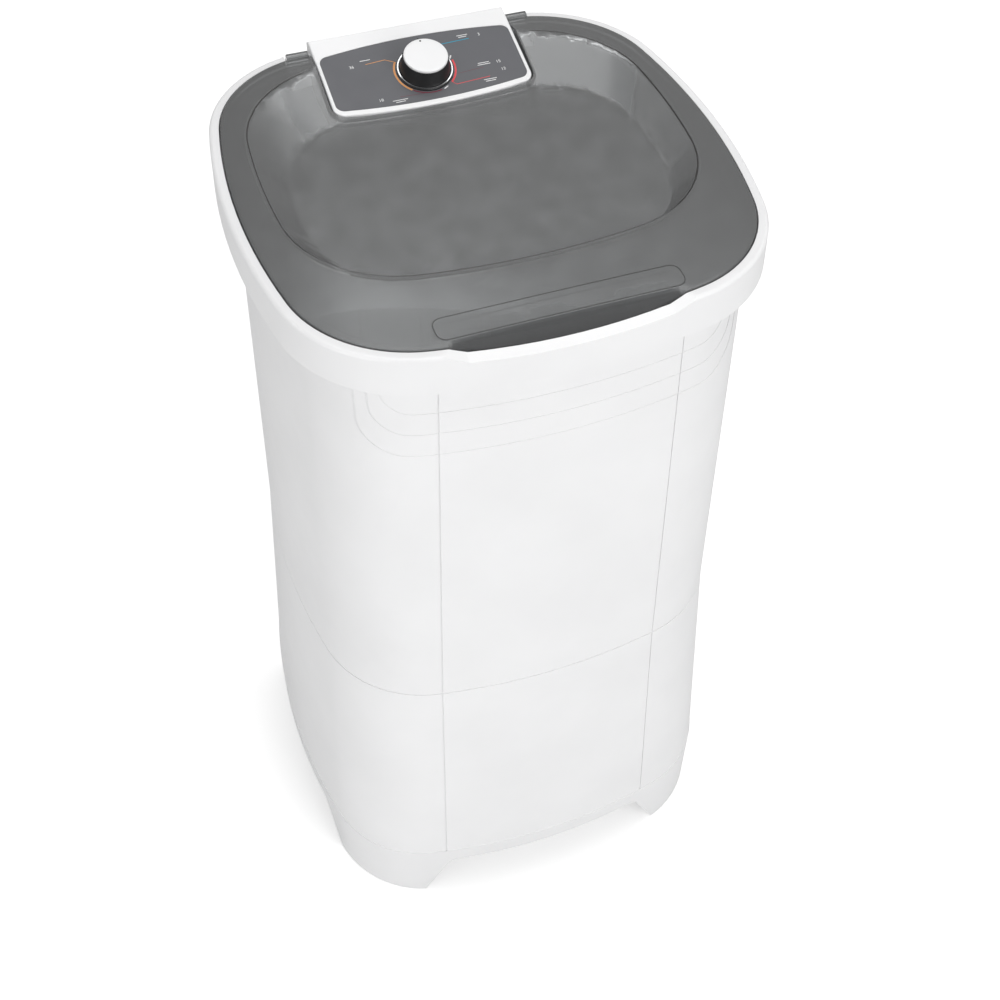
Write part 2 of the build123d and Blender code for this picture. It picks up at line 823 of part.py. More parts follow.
def console_outline(grow, mode=Mode.ADD):
    """Footprint of the console, grown outward; its back runs out past the rim."""
    half = console_half_width + grow
    bow = bow_radius + grow
    centre_y = console_front + bow_radius
    corner_y = centre_y - math.sqrt(bow**2 - half**2)
    far_y = rim_form[1] + 30
    with BuildLine() as outline:
        ThreePointArc((-half, corner_y), (0, centre_y - bow), (half, corner_y))
        Polyline((half, corner_y), (half, far_y), (-half, far_y), (-half, corner_y))
    sharp = make_face(outline.edges(), mode=Mode.PRIVATE).face()
    front = sharp.vertices().group_by(Axis.Y)[0]
    add(sharp.fillet_2d(console_corner + grow, front), mode=mode)


lip_space = lip_wedge(0)
lip_inner_space = lip_wedge(lid_wall)

with BuildPart() as lid_envelope:
    bowed_loft(
        [
            (notch_skirt_bottom, rim_form, lid_inset),
            (lid_edge_top - 2.5, rim_form, lid_inset),
            (lid_edge_top - 0.7, rim_form, lid_inset + 0.8),
            (lid_edge_top, rim_form, lid_edge_inset),
            (lid_step_height, step_form, 0, step_centre),
        ]
    )
    bowed_loft(
        [
            (lid_floor_height, floor_form, 0, floor_centre),
            (lid_step_height, step_form, 0, step_centre),
        ],
        mode=Mode.SUBTRACT,
    )
    add(lip_space, mode=Mode.SUBTRACT)

with BuildPart() as lid_cavity:
    bowed_loft(
        [
            (notch_skirt_bottom - 1, rim_form, lid_inset + lid_wall),
            (lid_edge_top - lid_wall - 1, rim_form, lid_inset + lid_wall),
            (lid_step_height - lid_wall, step_form, 0, step_centre),
        ]
    )
    bowed_loft(
        [
            (lid_floor_height - lid_wall, floor_form, -lid_wall / 2, floor_centre),
            (lid_step_height - lid_wall, step_form, -lid_wall / 2, step_centre),
        ],
        mode=Mode.SUBTRACT,
    )
    add(lip_inner_space, mode=Mode.SUBTRACT)
    # The skirt round the notch stays
    with BuildSketch(Plane.XY.offset(notch_skirt_bottom - 2)):
        console_outline(notch_gap + lid_wall)
        console_outline(notch_gap - 1, mode=Mode.SUBTRACT)
        with Locations((0, notch_skirt_back)):
            Rectangle(400, 200, align=(Align.CENTER, Align.MAX), mode=Mode.INTERSECT)
    extrude(amount=lid_step_height - notch_skirt_bottom + 4, mode=Mode.SUBTRACT)

with BuildPart() as handle_plate:
    with BuildSketch(Plane.XY.offset(lid_edge_top - 1)):
        with Locations((0, (handle_back + handle_front) / 2)):
            RectangleRounded(2 * handle_half_width, handle_back - handle_front, handle_corner)
    extrude(amount=8)
    bowed_loft(
        [
            (lid_edge_top - 2, rim_form, lid_inset),
            (lid_edge_top + handle_raise, rim_form, lid_edge_inset),
            (lid_step_height + handle_raise, step_form, 0, step_centre),
        ],
        mode=Mode.INTERSECT,
    )

ear_middle = (ear_inner + ear_outer) / 2

with BuildPart() as lid:
    add(lid_envelope.part)
    add(lid_cavity.part, mode=Mode.SUBTRACT)
    bowed_ring(
        notch_skirt_bottom - 1,
        rim_form,
        0,
        lid_inset + lid_wall + 0.1,
        lid_bottom - notch_skirt_bottom + 1,
        mode=Mode.SUBTRACT,
    )
    with BuildSketch(Plane.XY.offset(notch_skirt_bottom - 1)):
        console_outline(notch_gap)
    extrude(amount=60, mode=Mode.SUBTRACT)
    add(handle_plate.part)
    # Ears on the hinge axis
    with Locations((-ear_middle, hinge_y, hinge_z), (ear_middle, hinge_y, hinge_z)):
        Cylinder(barrel_radius, ear_outer - ear_inner, rotation=(0, 90, 0))
        Cylinder(hinge_pin_radius + running_gap, 30, rotation=(0, 90, 0), mode=Mode.SUBTRACT)
lid.part.label = "lid"

pin_middle = (pin_inner + pin_outer) / 2

with BuildPart() as hinge_pins:
    with Locations((-pin_middle, hinge_y, hinge_z), (pin_middle, hinge_y, hinge_z)):
        Cylinder(hinge_pin_radius, pin_outer - pin_inner, rotation=(0, 90, 0))
hinge_pins.part.label = "hinge_pins"

# Console
base_plate_bottom = saddle_top + seat_gap
base_plate_top = base_plate_bottom + base_plate_thickness
console_bottom = base_plate_top + seat_gap
ridge_z = knob_panel_z + (console_ridge_y - knob_y) * math.tan(slope)
rear_slope = math.atan((ridge_z - console_rear_z) / (rim_form[1] - console_ridge_y))
front_bosses = [(-front_boss_x, front_boss_y), (front_boss_x, front_boss_y)]
rear_bosses = [(-rear_boss_x, rear_boss_y), (rear_boss_x, rear_boss_y)]
timer_window = (
    2 * (timer_half_width + 3 * seat_gap),
    timer_back - timer_front + 6 * seat_gap,
)
timer_middle_y = (timer_front + timer_back) / 2


def console_form(inset, bottom):
    """The console between its footprint and its roof, drawn in by the inset."""
    front_drop = inset / math.cos(slope)
    rear_drop = inset / math.cos(rear_slope)
    shift = (front_drop - rear_drop) / (math.tan(slope) + math.tan(rear_slope))
    top_y = console_ridge_y + shift
    top_z = ridge_z + shift * math.tan(slope) - front_drop
    near_y = console_front - 9
    far_y = rim_form[1] + 5
    with BuildPart() as form:
        with BuildSketch(Plane.XY.offset(bottom)):
            console_outline(-inset)
            bowed_square(rim_form, inset, mode=Mode.INTERSECT)
        extrude(amount=60)
        with BuildSketch(Plane.YZ):
            with BuildLine():
                Polyline(
                    (near_y, bottom),
                    (near_y, top_z - (top_y - near_y) * math.tan(slope)),
                    (top_y, top_z),
                    (far_y, top_z - (far_y - top_y) * math.tan(rear_slope)),
                    (far_y, bottom),
                    close=True,
                )
            make_face()
        extrude(amount=150, both=True, mode=Mode.INTERSECT)
    return form.part


def panel_outline(grow):
    """The overlay's outline: straight sides, ends bowed outward, small round corners."""
    half = panel_side + grow
    sag = bow_radius - math.sqrt(bow_radius**2 - half**2)
    low = panel_front - grow
    high = panel_back + grow
    with BuildLine() as outline:
        ThreePointArc((-half, low + sag), (0, low), (half, low + sag))
        Line((half, low + sag), (half, high - sag))
        ThreePointArc((half, high - sag), (0, high), (-half, high - sag))
        Line((-half, high - sag), (-half, low + sag))
    sharp = make_face(outline.edges(), mode=Mode.PRIVATE).face()
    add(sharp.fillet_2d(panel_corner + grow, sharp.vertices()))


console_solid = console_form(0, console_bottom)
console_inside = console_form(console_wall, console_bottom - 1)

with BuildPart() as console_bosses:
    with Locations(*[(x, y, console_bottom) for x, y in front_bosses + rear_bosses]):
        Cylinder(boss_radius, 60, align=upward)
    with Locations((-pin_inner, hinge_y, hinge_z), (pin_inner, hinge_y, hinge_z)):
        Cylinder(pin_boss_radius, 2 * (console_half_width - pin_inner), rotation=(0, 90, 0))
    with BuildSketch(panel_plane.offset(-timer_plate_depth)):
        with Locations((-timer_screw_x, timer_screw_v), (timer_screw_x, timer_screw_v)):
            Circle(boss_radius)
    extrude(amount=timer_plate_depth)
    add(console_solid, mode=Mode.INTERSECT)

with BuildPart() as console_housing:
    add(console_solid)
    fillet(console_housing.faces().filter_by(panel_plane).sort_by(Axis.Z)[-1].edges(), radius=1.6)
    add(console_inside, mode=Mode.SUBTRACT)
    add(console_bosses.part)
    with BuildSketch(panel_plane):
        panel_outline(screw_play)
    extrude(amount=-panel_recess, mode=Mode.SUBTRACT)
    with Locations(panel_plane):
        Hole(timer_shaft_radius + 2, 4 * console_wall)
    with BuildSketch(panel_plane.offset(-timer_plate_depth)):
        with Locations((-timer_screw_x, timer_screw_v), (timer_screw_x, timer_screw_v)):
            Circle(screw_radius)
    extrude(amount=timer_plate_depth - panel_recess - 1, mode=Mode.SUBTRACT)
    with Locations((-pin_middle, hinge_y, hinge_z), (pin_middle, hinge_y, hinge_z)):
        Cylinder(
            hinge_pin_radius + running_gap,
            pin_outer - pin_inner + seat_gap,
            rotation=(0, 90, 0),
            mode=Mode.SUBTRACT,
        )
    with Locations(*[(x, y, console_bottom) for x, y in front_bosses]):
        Cylinder(screw_radius, 12, align=upward, mode=Mode.SUBTRACT)
    with Locations(*[(x, y, console_bottom) for x, y in rear_bosses]):
        Cylinder(screw_radius, 16, align=upward, mode=Mode.SUBTRACT)
console_housing.part.label = "console_housing"

with BuildPart() as console_base:
    with BuildSketch(Plane.XY.offset(base_plate_bottom)):
        console_outline(0)
        bowed_square(rim_form, 0, mode=Mode.INTERSECT)
        with Locations((0, timer_middle_y)):
            Rectangle(*timer_window, mode=Mode.SUBTRACT)
        with Locations(*front_bosses, *rear_bosses):
            Circle(screw_radius + screw_play, mode=Mode.SUBTRACT)
    extrude(amount=base_plate_thickness)
console_base.part.label = "console_base"

with BuildPart() as console_screws:
    screws(front_bosses, base_plate_bottom, 12, screw_head_radius, screw_radius)
    screws(rear_bosses, saddle_top - rim_wall, 16, screw_head_radius, screw_radius)
console_screws.part.label = "console_screws"

with BuildPart() as control_panel:
    with BuildSketch(panel_plane.offset(-panel_recess)):
        panel_outline(0)
        Circle(timer_shaft_radius + 2, mode=Mode.SUBTRACT)
    extrude(amount=panel_thickness)
control_panel.part.label = "control_panel"

# Timer in its cover under the console
with BuildPart() as timer_cover:
    with BuildSketch(Plane.XZ.offset(-timer_front)):
        with BuildLine():
            FilletPolyline(
                (-timer_half_width, timer_top),
                (-timer_half_width, timer_bottom),
                (timer_half_width, timer_bottom),
                (timer_half_width, timer_top),
                radius=timer_corner,
            )
            Line((timer_half_width, timer_top), (-timer_half_width, timer_top))
        make_face()
    extrude(amount=-(timer_back - timer_front))
    offset(amount=-timer_wall, openings=timer_cover.faces().sort_by(Axis.Z)[-1])
    with BuildSketch(Plane.XY.offset(console_bottom)):
        with Locations((0, timer_middle_y)):
            Rectangle(2 * (timer_half_width + timer_lip), timer_back - timer_front + timer_lip)
            Rectangle(
                2 * (timer_half_width - timer_wall / 2),
                timer_back - timer_front - timer_wall,
                mode=Mode.SUBTRACT,
            )
    extrude(amount=timer_wall)
timer_cover.part.label = "timer_cover"

timer_body_v = (timer_body_low + timer_body_high) / 2
timer_body_height = timer_body_high - timer_body_low

with BuildPart() as timer:
    with BuildSketch(panel_plane.offset(-timer_plate_depth - timer_plate_thickness)):
        with Locations((0, timer_body_v)):
            Rectangle(timer_body_width, timer_body_height)
    extrude(amount=-timer_body_depth)
    fillet(timer.edges().filter_by(Axis(panel_plane.origin, panel_plane.z_dir)), radius=4)
    with BuildSketch(panel_plane.offset(-timer_plate_depth - timer_plate_thickness)):
        with Locations((0, timer_body_v)):
            RectangleRounded(timer_plate_width, timer_body_height - 8, 3)
        with Locations((-timer_screw_x, timer_screw_v), (timer_screw_x, timer_screw_v)):
            Circle(screw_radius + screw_play, mode=Mode.SUBTRACT)
    extrude(amount=timer_plate_thickness)
    with Locations(panel_plane.offset(-timer_shaft_depth / 2)):
        Cylinder(
            timer_shaft_radius + running_gap, timer_shaft_depth + seat_gap, mode=Mode.SUBTRACT
        )
timer.part.label = "timer"

with BuildPart() as timer_screws:
    with BuildSketch(panel_plane.offset(-timer_plate_depth - timer_plate_thickness)):
        with Locations((-timer_screw_x, timer_screw_v), (timer_screw_x, timer_screw_v)):
            Circle(screw_radius)
    extrude(amount=5)
    with BuildSketch(panel_plane.offset(-timer_plate_depth - timer_plate_thickness)):
        with Locations((-timer_screw_x, timer_screw_v), (timer_screw_x, timer_screw_v)):
            Circle(screw_head_radius - 0.5)
    extrude(amount=-2)
timer_screws.part.label = "timer_screws"

# Knob on the timer's shaft, inside a fixed bezel and a bright ring
knob_axis = Axis(panel_plane.origin, panel_plane.z_dir)
knob_section = Plane(
    origin=panel_plane.origin,
    x_dir=(1, 0, 0),
    z_dir=(0, -math.cos(slope), -math.sin(slope)),
)
panel_top = panel_thickness - panel_recess
knob_bottom = bezel_height + seat_gap
knob_ceiling = knob_height - 1.5

with BuildPart() as knob_bezel:
    with BuildSketch(panel_plane.offset(panel_top)):
        Circle(bezel_radius)
        Circle(timer_shaft_radius + 5, mode=Mode.SUBTRACT)
    extrude(amount=bezel_height - panel_top)
knob_bezel.part.label = "knob_bezel"

with BuildPart() as knob_trim_ring:
    with BuildSketch(panel_plane.offset(bezel_height)):
        Circle(trim_outer)
        Circle(trim_inner, mode=Mode.SUBTRACT)
    extrude(amount=trim_height)
knob_trim_ring.part.label = "knob_trim_ring"

with BuildPart() as knob_skirt:
    with BuildSketch(knob_section):
        with BuildLine():
            Polyline(
                (timer_shaft_radius, knob_bottom),
                (timer_shaft_radius + 4, knob_bottom),
                (timer_shaft_radius + 4, knob_ceiling - 2),
                (knob_top_radius - knob_wall, knob_ceiling - 2),
                (knob_base_radius - knob_wall, knob_bottom),
                (knob_base_radius, knob_bottom),
                (knob_top_radius, knob_height),
                (cap_radius - 0.6, knob_height),
                (cap_radius - 0.6, knob_ceiling),
                (0, knob_ceiling),
                (0, knob_ceiling - 2),
                (timer_shaft_radius, knob_ceiling - 2),
                close=True,
            )
        make_face()
    revolve(axis=knob_axis)
    with BuildSketch(panel_plane.offset(knob_bottom)):
        with Locations((0, knob_base_radius - 1)):
            Rectangle(1.8, 3)
    extrude(amount=knob_ceiling - knob_bottom)
knob_skirt.part.label = "knob_skirt"

with BuildPart() as knob_cap:
    with BuildSketch(knob_section):
        with BuildLine():
            Polyline(
                (0, knob_ceiling),
                (cap_radius - 0.65, knob_ceiling),
                (cap_radius - 0.65, knob_height),
                (cap_radius, knob_height),
                (cap_radius, cap_top - 1.3),
                (cap_radius - 0.4, cap_top - 0.6),
                (cap_radius - 1.4, cap_top - 0.2),
                (0, cap_top),
                close=True,
            )
        make_face()
    revolve(axis=knob_axis)
knob_cap.part.label = "knob_cap"

with BuildPart() as timer_shaft:
    with Locations(panel_plane.offset(-timer_shaft_depth)):
        Cylinder(timer_shaft_radius, timer_shaft_depth + knob_ceiling - 2, align=upward)
timer_shaft.part.label = "timer_shaft"

# Bearing of the impeller's shaft, bolted under the tub
bearing_flange_bottom = bearing_flange_top - bearing_flange_thickness
seal_bottom = bearing_top - seal_height - 2

with BuildPart() as gusset:
    with BuildSketch(Plane.XZ):
        with BuildLine():
            Polyline(
                (bearing_tube_radius - 1, bearing_flange_bottom),
                (hub_boss_radius - 5, bearing_flange_bottom),
                (bearing_tube_radius - 1, bearing_flange_bottom - 42),
                close=True,
            )
        make_face()
    extrude(amount=2, both=True)

with BuildPart() as bearing_housing:
    with BuildSketch(Plane.XZ):
        with BuildLine():
            Polyline(
                (bush_outer_radius, bearing_bottom),
                (bearing_tube_radius, bearing_bottom),
                (bearing_tube_radius, bearing_flange_bottom),
                (hub_boss_radius, bearing_flange_bottom),
                (hub_boss_radius, bearing_flange_top),
                (bearing_tube_radius, bearing_flange_top),
                (bearing_tube_radius, bearing_top),
                (seal_radius, bearing_top),
                (seal_radius, seal_bottom),
                (bush_outer_radius, seal_bottom),
                close=True,
            )
        make_face()
    revolve(axis=Axis.Z)
    with PolarLocations(0, 6, start_angle=30):
        add(gusset.part)
    with Locations(*[(x, y, bearing_flange_top) for x, y in bearing_bolts]):
        Hole(screw_radius + screw_play, bearing_flange_thickness + 1)
bearing_housing.part.label = "bearing_housing"

with BuildPart() as shaft_bushes:
    with Locations((0, 0, bearing_bottom + 2), (0, 0, upper_bush_top - bush_length)):
        Cylinder(bush_outer_radius, bush_length, align=upward)
        Hole(shaft_radius + running_gap, 2 * bush_length)
shaft_bushes.part.label = "shaft_bushes"

with BuildPart() as shaft_seal:
    with Locations((0, 0, seal_bottom)):
        Cylinder(seal_radius, seal_height, align=upward)
    chamfer(shaft_seal.faces().sort_by(Axis.Z)[-1].edges(), 1.5)
    Cylinder(shaft_radius + running_gap, 2 * bearing_top, mode=Mode.SUBTRACT)
shaft_seal.part.label = "shaft_seal"

with BuildPart() as bearing_gasket:
    with BuildSketch(Plane.XY.offset(bearing_flange_top)):
        Circle(hub_boss_radius)
        Circle(bearing_tube_radius + seat_gap, mode=Mode.SUBTRACT)
        with Locations(*bearing_bolts):
            Circle(screw_radius + screw_play, mode=Mode.SUBTRACT)
    extrude(amount=gasket_thickness)
bearing_gasket.part.label = "bearing_gasket"

with BuildPart() as bearing_screws:
    screws(bearing_bolts, bearing_flange_bottom, 16, screw_head_radius, screw_radius)
bearing_screws.part.label = "bearing_screws"

# Impeller: dished disc with curved vanes round a hub, bolted to its shaft
impeller_bottom = well_floor + impeller_clearance
disc_top = impeller_bottom + impeller_thickness
hub_top = impeller_bottom + impeller_height
socket_bottom = bearing_top + impeller_clearance
shaft_top = socket_bottom + impeller_socket
bolt_seat = shaft_top + 4

with BuildPart() as vanes:
    with BuildSketch(Plane.XY.offset(disc_top - 1)):
        with PolarLocations(0, vane_count):
            with BuildLine():
                vane = RadiusArc((impeller_hub_radius - 8, 0), (impeller_radius - 10, 12), 110)
            SlotArc(vane, vane_width)
    extrude(amount=impeller_height)
    with BuildSketch(Plane.XZ):
        with BuildLine():
            Spline(
                (0, hub_top - 3),
                (impeller_hub_radius, hub_top - 8),
                (impeller_radius * 0.7, disc_top + 14),
                (impeller_radius, disc_top + 2),
            )
            Polyline((impeller_radius, disc_top + 2), (impeller_radius, 0), (0, 0), (0, hub_top - 3))
        make_face()
    revolve(axis=Axis.Z, mode=Mode.INTERSECT)

with BuildPart() as impeller:
    with BuildSketch(Plane.XZ):
        with BuildLine():
            Polyline(
                (shaft_radius + running_gap, socket_bottom),
                (bearing_tube_radius + impeller_clearance, socket_bottom),
                (bearing_tube_radius + impeller_clearance, impeller_bottom),
                (impeller_radius, impeller_bottom),
                (impeller_radius, disc_top - 1),
                (impeller_radius - 1, disc_top),
                (impeller_hub_radius, disc_top + 8),
                (impeller_hub_radius - 4, hub_top - 4),
                (impeller_hub_radius - 8, hub_top),
                (14, hub_top),
                (12, hub_top - 2),
                (12, bolt_seat),
                (shaft_bolt_radius + screw_play, bolt_seat),
                (shaft_bolt_radius + screw_play, shaft_top),
                (shaft_radius + running_gap, shaft_top),
                close=True,
            )
        make_face()
    revolve(axis=Axis.Z)
    add(vanes.part)
    with PolarLocations(impeller_radius * 0.72, 3 * vane_count, start_angle=12):
        Hole(3, 2 * hub_top)
impeller.part.label = "impeller"

with BuildPart() as impeller_bolt:
    with BuildSketch(Plane.XY.offset(bolt_seat)):
        RegularPolygon(8, 6)
    extrude(amount=5)
    with Locations((0, 0, bolt_seat)):
        Cylinder(shaft_bolt_radius, 18, align=(Align.CENTER, Align.CENTER, Align.MAX))
impeller_bolt.part.label = "impeller_bolt"

cap_rim = 20.0
cap_rise = 4.8
plug_radius = 11.9

with BuildPart() as impeller_cap:
    with BuildSketch(Plane.XZ):
        with BuildLine():
            Polyline(
                (0, hub_top - 3),
                (plug_radius, hub_top - 3),
                (plug_radius, hub_top),
                (cap_rim, hub_top),
                (cap_rim - 3, hub_top + cap_rise - 1.5),
                (cap_rim - 8, hub_top + cap_rise),
                (0, hub_top + cap_rise),
                close=True,
            )
        make_face()
    revolve(axis=Axis.Z)
impeller_cap.part.label = "impeller_cap"

with BuildPart() as impeller_shaft:
    with Locations((0, 0, shaft_bottom)):
        Cylinder(shaft_radius, shaft_top - shaft_bottom, align=upward)
    with Locations((0, 0, shaft_top)):
        Cylinder(
            shaft_bolt_radius,
            18,
            align=(Align.CENTER, Align.CENTER, Align.MAX),
            mode=Mode.SUBTRACT,
        )
impeller_shaft.part.label = "impeller_shaft"


def pulley_section(radius, inner):
    """Half section of a V-belt pulley's rim between two radii."""
    half = pulley_width / 2
    mouth = belt_width / 2 + belt_slack
    floor = mouth - (belt_height + 2) * math.tan(math.radians(groove_half_angle))
    root = radius - belt_height - 2
    with BuildLine() as outline:
        Polyline(
            (inner, -half),
            (radius, -half),
            (radius, -mouth),
            (root, -floor),
            (root, floor),
            (radius, mouth),
            (radius, half),
            (inner, half),
            close=True,
        )
    make_face(outline.edges())


rim_inner = driven_radius - belt_height - 8
hub_radius = 20.0
hub_height = 26.0

with BuildPart() as driven_pulley:
    with BuildSketch(Plane(origin=(0, 0, pulley_plane), x_dir=(1, 0, 0), z_dir=(0, -1, 0))):
        pulley_section(driven_radius, rim_inner)
    revolve(axis=Axis.Z)
    with BuildSketch(Plane.XY.offset(pulley_plane - 4)):
        with PolarLocations((hub_radius + rim_inner) / 2, 5):
            Rectangle(rim_inner - hub_radius + 4, 22)
    extrude(amount=8)
    with Locations((0, 0, pulley_plane - pulley_width / 2)):
        Cylinder(hub_radius, hub_height, align=upward)
    Cylinder(shaft_radius + running_gap, 2 * bearing_bottom, mode=Mode.SUBTRACT)
driven_pulley.part.label = "driven_pulley"

with BuildPart() as pulley_nut:
    with BuildSketch(Plane.XY.offset(pulley_plane - pulley_width / 2 - 8)):
        RegularPolygon(12, 6)
        Circle(shaft_radius + running_gap, mode=Mode.SUBTRACT)
    extrude(amount=8)
pulley_nut.part.label = "pulley_nut"

with BuildPart() as shaft_clip:
    with BuildSketch(Plane.XY.offset(bearing_bottom - seat_gap - 1.5)):
        Circle(shaft_radius + 3)
        Circle(shaft_radius, mode=Mode.SUBTRACT)
        with Locations((0, shaft_radius + 2)):
            Rectangle(4, 6, mode=Mode.SUBTRACT)
    extrude(amount=1.5)
shaft_clip.part.label = "shaft_clip"

# Belt round both pulleys
driven_path = driven_radius - 1 - belt_height / 2
drive_path = drive_radius - 1 - belt_height / 2
wrap = math.degrees(math.acos((driven_path - drive_path) / motor_distance))
wrap_x = math.cos(math.radians(wrap))
wrap_y = math.sin(math.radians(wrap))
belt_inner = belt_width / 2 - belt_height * math.tan(math.radians(groove_half_angle))

with BuildPart() as drive_belt:
    with BuildLine(drive_plane.offset(pulley_plane)) as belt_line:
        CenterArc((0, 0), driven_path, wrap, 360 - 2 * wrap)
        Line(
            (driven_path * wrap_x, -driven_path * wrap_y),
            (motor_distance + drive_path * wrap_x, -drive_path * wrap_y),
        )
        CenterArc((motor_distance, 0), drive_path, -wrap, 2 * wrap)
        Line(
            (motor_distance + drive_path * wrap_x, drive_path * wrap_y),
            (driven_path * wrap_x, driven_path * wrap_y),
        )
    loop = belt_line.wire()
    with BuildSketch(Plane(origin=loop @ 0, x_dir=(0, 0, 1), z_dir=loop % 0)):
        with BuildLine():
            Polyline(
                (-belt_inner, -belt_height / 2),
                (belt_inner, -belt_height / 2),
                (belt_width / 2, belt_height / 2),
                (-belt_width / 2, belt_height / 2),
                close=True,
            )
        make_face()
    sweep(path=loop)
drive_belt.part.label = "drive_belt"

# Motor hung on rubber mounts from a bracket under the tub
motor_axis = Axis((motor_x, motor_y, 0), (0, 0, 1))
motor_section = Plane(origin=(motor_x, motor_y, 0), x_dir=(1, 0, 0), z_dir=(0, -1, 0))
mount_spots = [
    (motor_distance + reach, side)
    for reach in (-mount_spacing / 2, mount_spacing / 2)
    for side in (-mount_spacing / 2, mount_spacing / 2)
]
motor_bolts = drive_spots(mount_spots)
shield_split = (stator_bottom + stator_top) / 2
stator_radius = motor_radius - end_shield_wall - seat_gap

with BuildPart() as motor_bracket:
    with BuildSketch(drive_plane.offset(bracket_bottom)):
        with Locations(((bracket_start + bracket_end) / 2, 0)):
            RectangleRounded(bracket_end - bracket_start, 2 * bracket_half_width, 12)
        with Locations((motor_distance, 0)):
            Circle(22, mode=Mode.SUBTRACT)
        with Locations(*mount_spots):
            SlotOverall(18, 2 * (screw_radius + screw_play), mode=Mode.SUBTRACT)
        with Locations(*near_bolts, *far_bolts):
            Circle(screw_radius + screw_play, mode=Mode.SUBTRACT)
    extrude(amount=bracket_thickness)
    with BuildSketch(drive_plane.offset(bracket_top)):
        middle = (bracket_start + bracket_end) / 2
        edge = bracket_half_width - bracket_thickness / 2
        with Locations((middle, -edge), (middle, edge)):
            Rectangle(bracket_end - bracket_start - 30, bracket_thickness)
    extrude(amount=bracket_lip)
motor_bracket.part.label = "motor_bracket"

with BuildPart() as bracket_screws:
    screws(bracket_bolts, bracket_bottom, 22, screw_head_radius + 1, screw_radius)
bracket_screws.part.label = "bracket_screws"

with BuildPart() as motor_mounts:
    with Locations(*[(x, y, motor_top) for x, y in motor_bolts]):
        Cylinder(mount_radius, bracket_bottom - motor_top, align=upward)
        Hole(screw_radius + screw_play, 20)
motor_mounts.part.label = "motor_mounts"

with BuildPart() as motor_screws:
    screws(motor_bolts, bracket_top, 12, screw_head_radius, screw_radius, up=False)
motor_screws.part.label = "motor_screws"

with BuildPart() as motor_upper_shield:
    with BuildSketch(motor_section):
        with BuildLine():
            Polyline(
                (0, motor_top),
                (motor_radius, motor_top),
                (motor_radius, shield_split + seat_gap),
                (motor_radius - end_shield_wall, shield_split + seat_gap),
                (motor_radius - end_shield_wall, motor_top - end_shield_wall),
                (2 * motor_shaft_radius, motor_top - end_shield_wall),
                (2 * motor_shaft_radius, motor_top - 16),
                (motor_shaft_radius + running_gap, motor_top - 16),
                (motor_shaft_radius + running_gap, motor_top - end_shield_wall - 1),
                (0, motor_top - end_shield_wall - 1),
                close=True,
            )
        make_face()
    revolve(axis=motor_axis)
    with Locations(*[(x, y, motor_top) for x, y in motor_bolts]):
        Hole(screw_radius, 2 * end_shield_wall)
    with Locations((motor_x, motor_y, motor_top - 12)):
        with PolarLocations(motor_radius, 12):
            Box(12, 6, 10, mode=Mode.SUBTRACT)
motor_upper_shield.part.label = "motor_upper_shield"

with BuildPart() as motor_lower_shield:
    with BuildSketch(motor_section):
        with BuildLine():
            Polyline(
                (motor_shaft_radius + running_gap, motor_bottom),
                (motor_radius, motor_bottom),
                (motor_radius, shield_split),
                (motor_radius - end_shield_wall, shield_split),
                (motor_radius - end_shield_wall, motor_bottom + end_shield_wall),
                (2 * motor_shaft_radius, motor_bottom + end_shield_wall),
                (2 * motor_shaft_radius, motor_bottom + 14),
                (motor_shaft_radius + running_gap, motor_bottom + 14),
                close=True,
            )
        make_face()
    revolve(axis=motor_axis)
    with Locations((motor_x, motor_y, motor_bottom + 12)):
        with PolarLocations(motor_radius, 12):
            Box(12, 6, 10, mode=Mode.SUBTRACT)
motor_lower_shield.part.label = "motor_lower_shield"

with BuildPart() as motor_stator:
    with Locations((motor_x, motor_y, stator_bottom)):
        Cylinder(stator_radius, stator_top - stator_bottom, align=upward)
        Hole(rotor_radius + 0.5, 2 * stator_top)
motor_stator.part.label = "motor_stator"

with BuildPart() as motor_windings:
    for height in (stator_bottom - 12, stator_top):
        with BuildSketch(Plane.XY.offset(height)):
            with Locations((motor_x, motor_y)):
                Circle(stator_radius - 8)
                Circle(rotor_radius + 3, mode=Mode.SUBTRACT)
        extrude(amount=12)
motor_windings.part.label = "motor_windings"

with BuildPart() as motor_rotor:
    with Locations((motor_x, motor_y, pulley_plane - pulley_width / 2 - 4)):
        Cylinder(
            motor_shaft_radius,
            motor_top - end_shield_wall - 2 - pulley_plane + pulley_width / 2 + 4,
            align=upward,
        )
    with Locations((motor_x, motor_y, stator_bottom + 2)):
        Cylinder(rotor_radius, stator_top - stator_bottom - 4, align=upward)
motor_rotor.part.label = "motor_rotor"

motor_pulley_section = Plane(
    origin=(motor_x, motor_y, pulley_plane),
    x_dir=(1, 0, 0),
    z_dir=(0, -1, 0),
)

with BuildPart() as motor_pulley:
    with BuildSketch(motor_pulley_section):
        pulley_section(drive_radius, motor_shaft_radius + running_gap)
    revolve(axis=motor_axis)
motor_pulley.part.label = "motor_pulley"

with BuildPart() as motor_fan:
    with Locations((motor_x, motor_y, fan_bottom)):
        Cylinder(fan_radius, 2, align=upward)
        Cylinder(12, 15, align=upward)
    with BuildSketch(Plane.XY.offset(fan_bottom)):
        with Locations((motor_x, motor_y)):
            with PolarLocations((fan_radius + 10) / 2, fan_blades):
                Rectangle(fan_radius - 12, 2)
    extrude(amount=13)
    with Locations((motor_x, motor_y, fan_bottom)):
        Hole(motor_shaft_radius + running_gap, 40)
motor_fan.part.label = "motor_fan"

with BuildPart() as capacitor:
    with BuildSketch(drive_plane.offset(bracket_bottom - capacitor_length)):
        with Locations((capacitor_reach, 0)):
            Circle(capacitor_radius)
    extrude(amount=capacitor_length)
    chamfer(capacitor.faces().sort_by(Axis.Z)[0].edges(), 2)
capacitor.part.label = "capacitor"

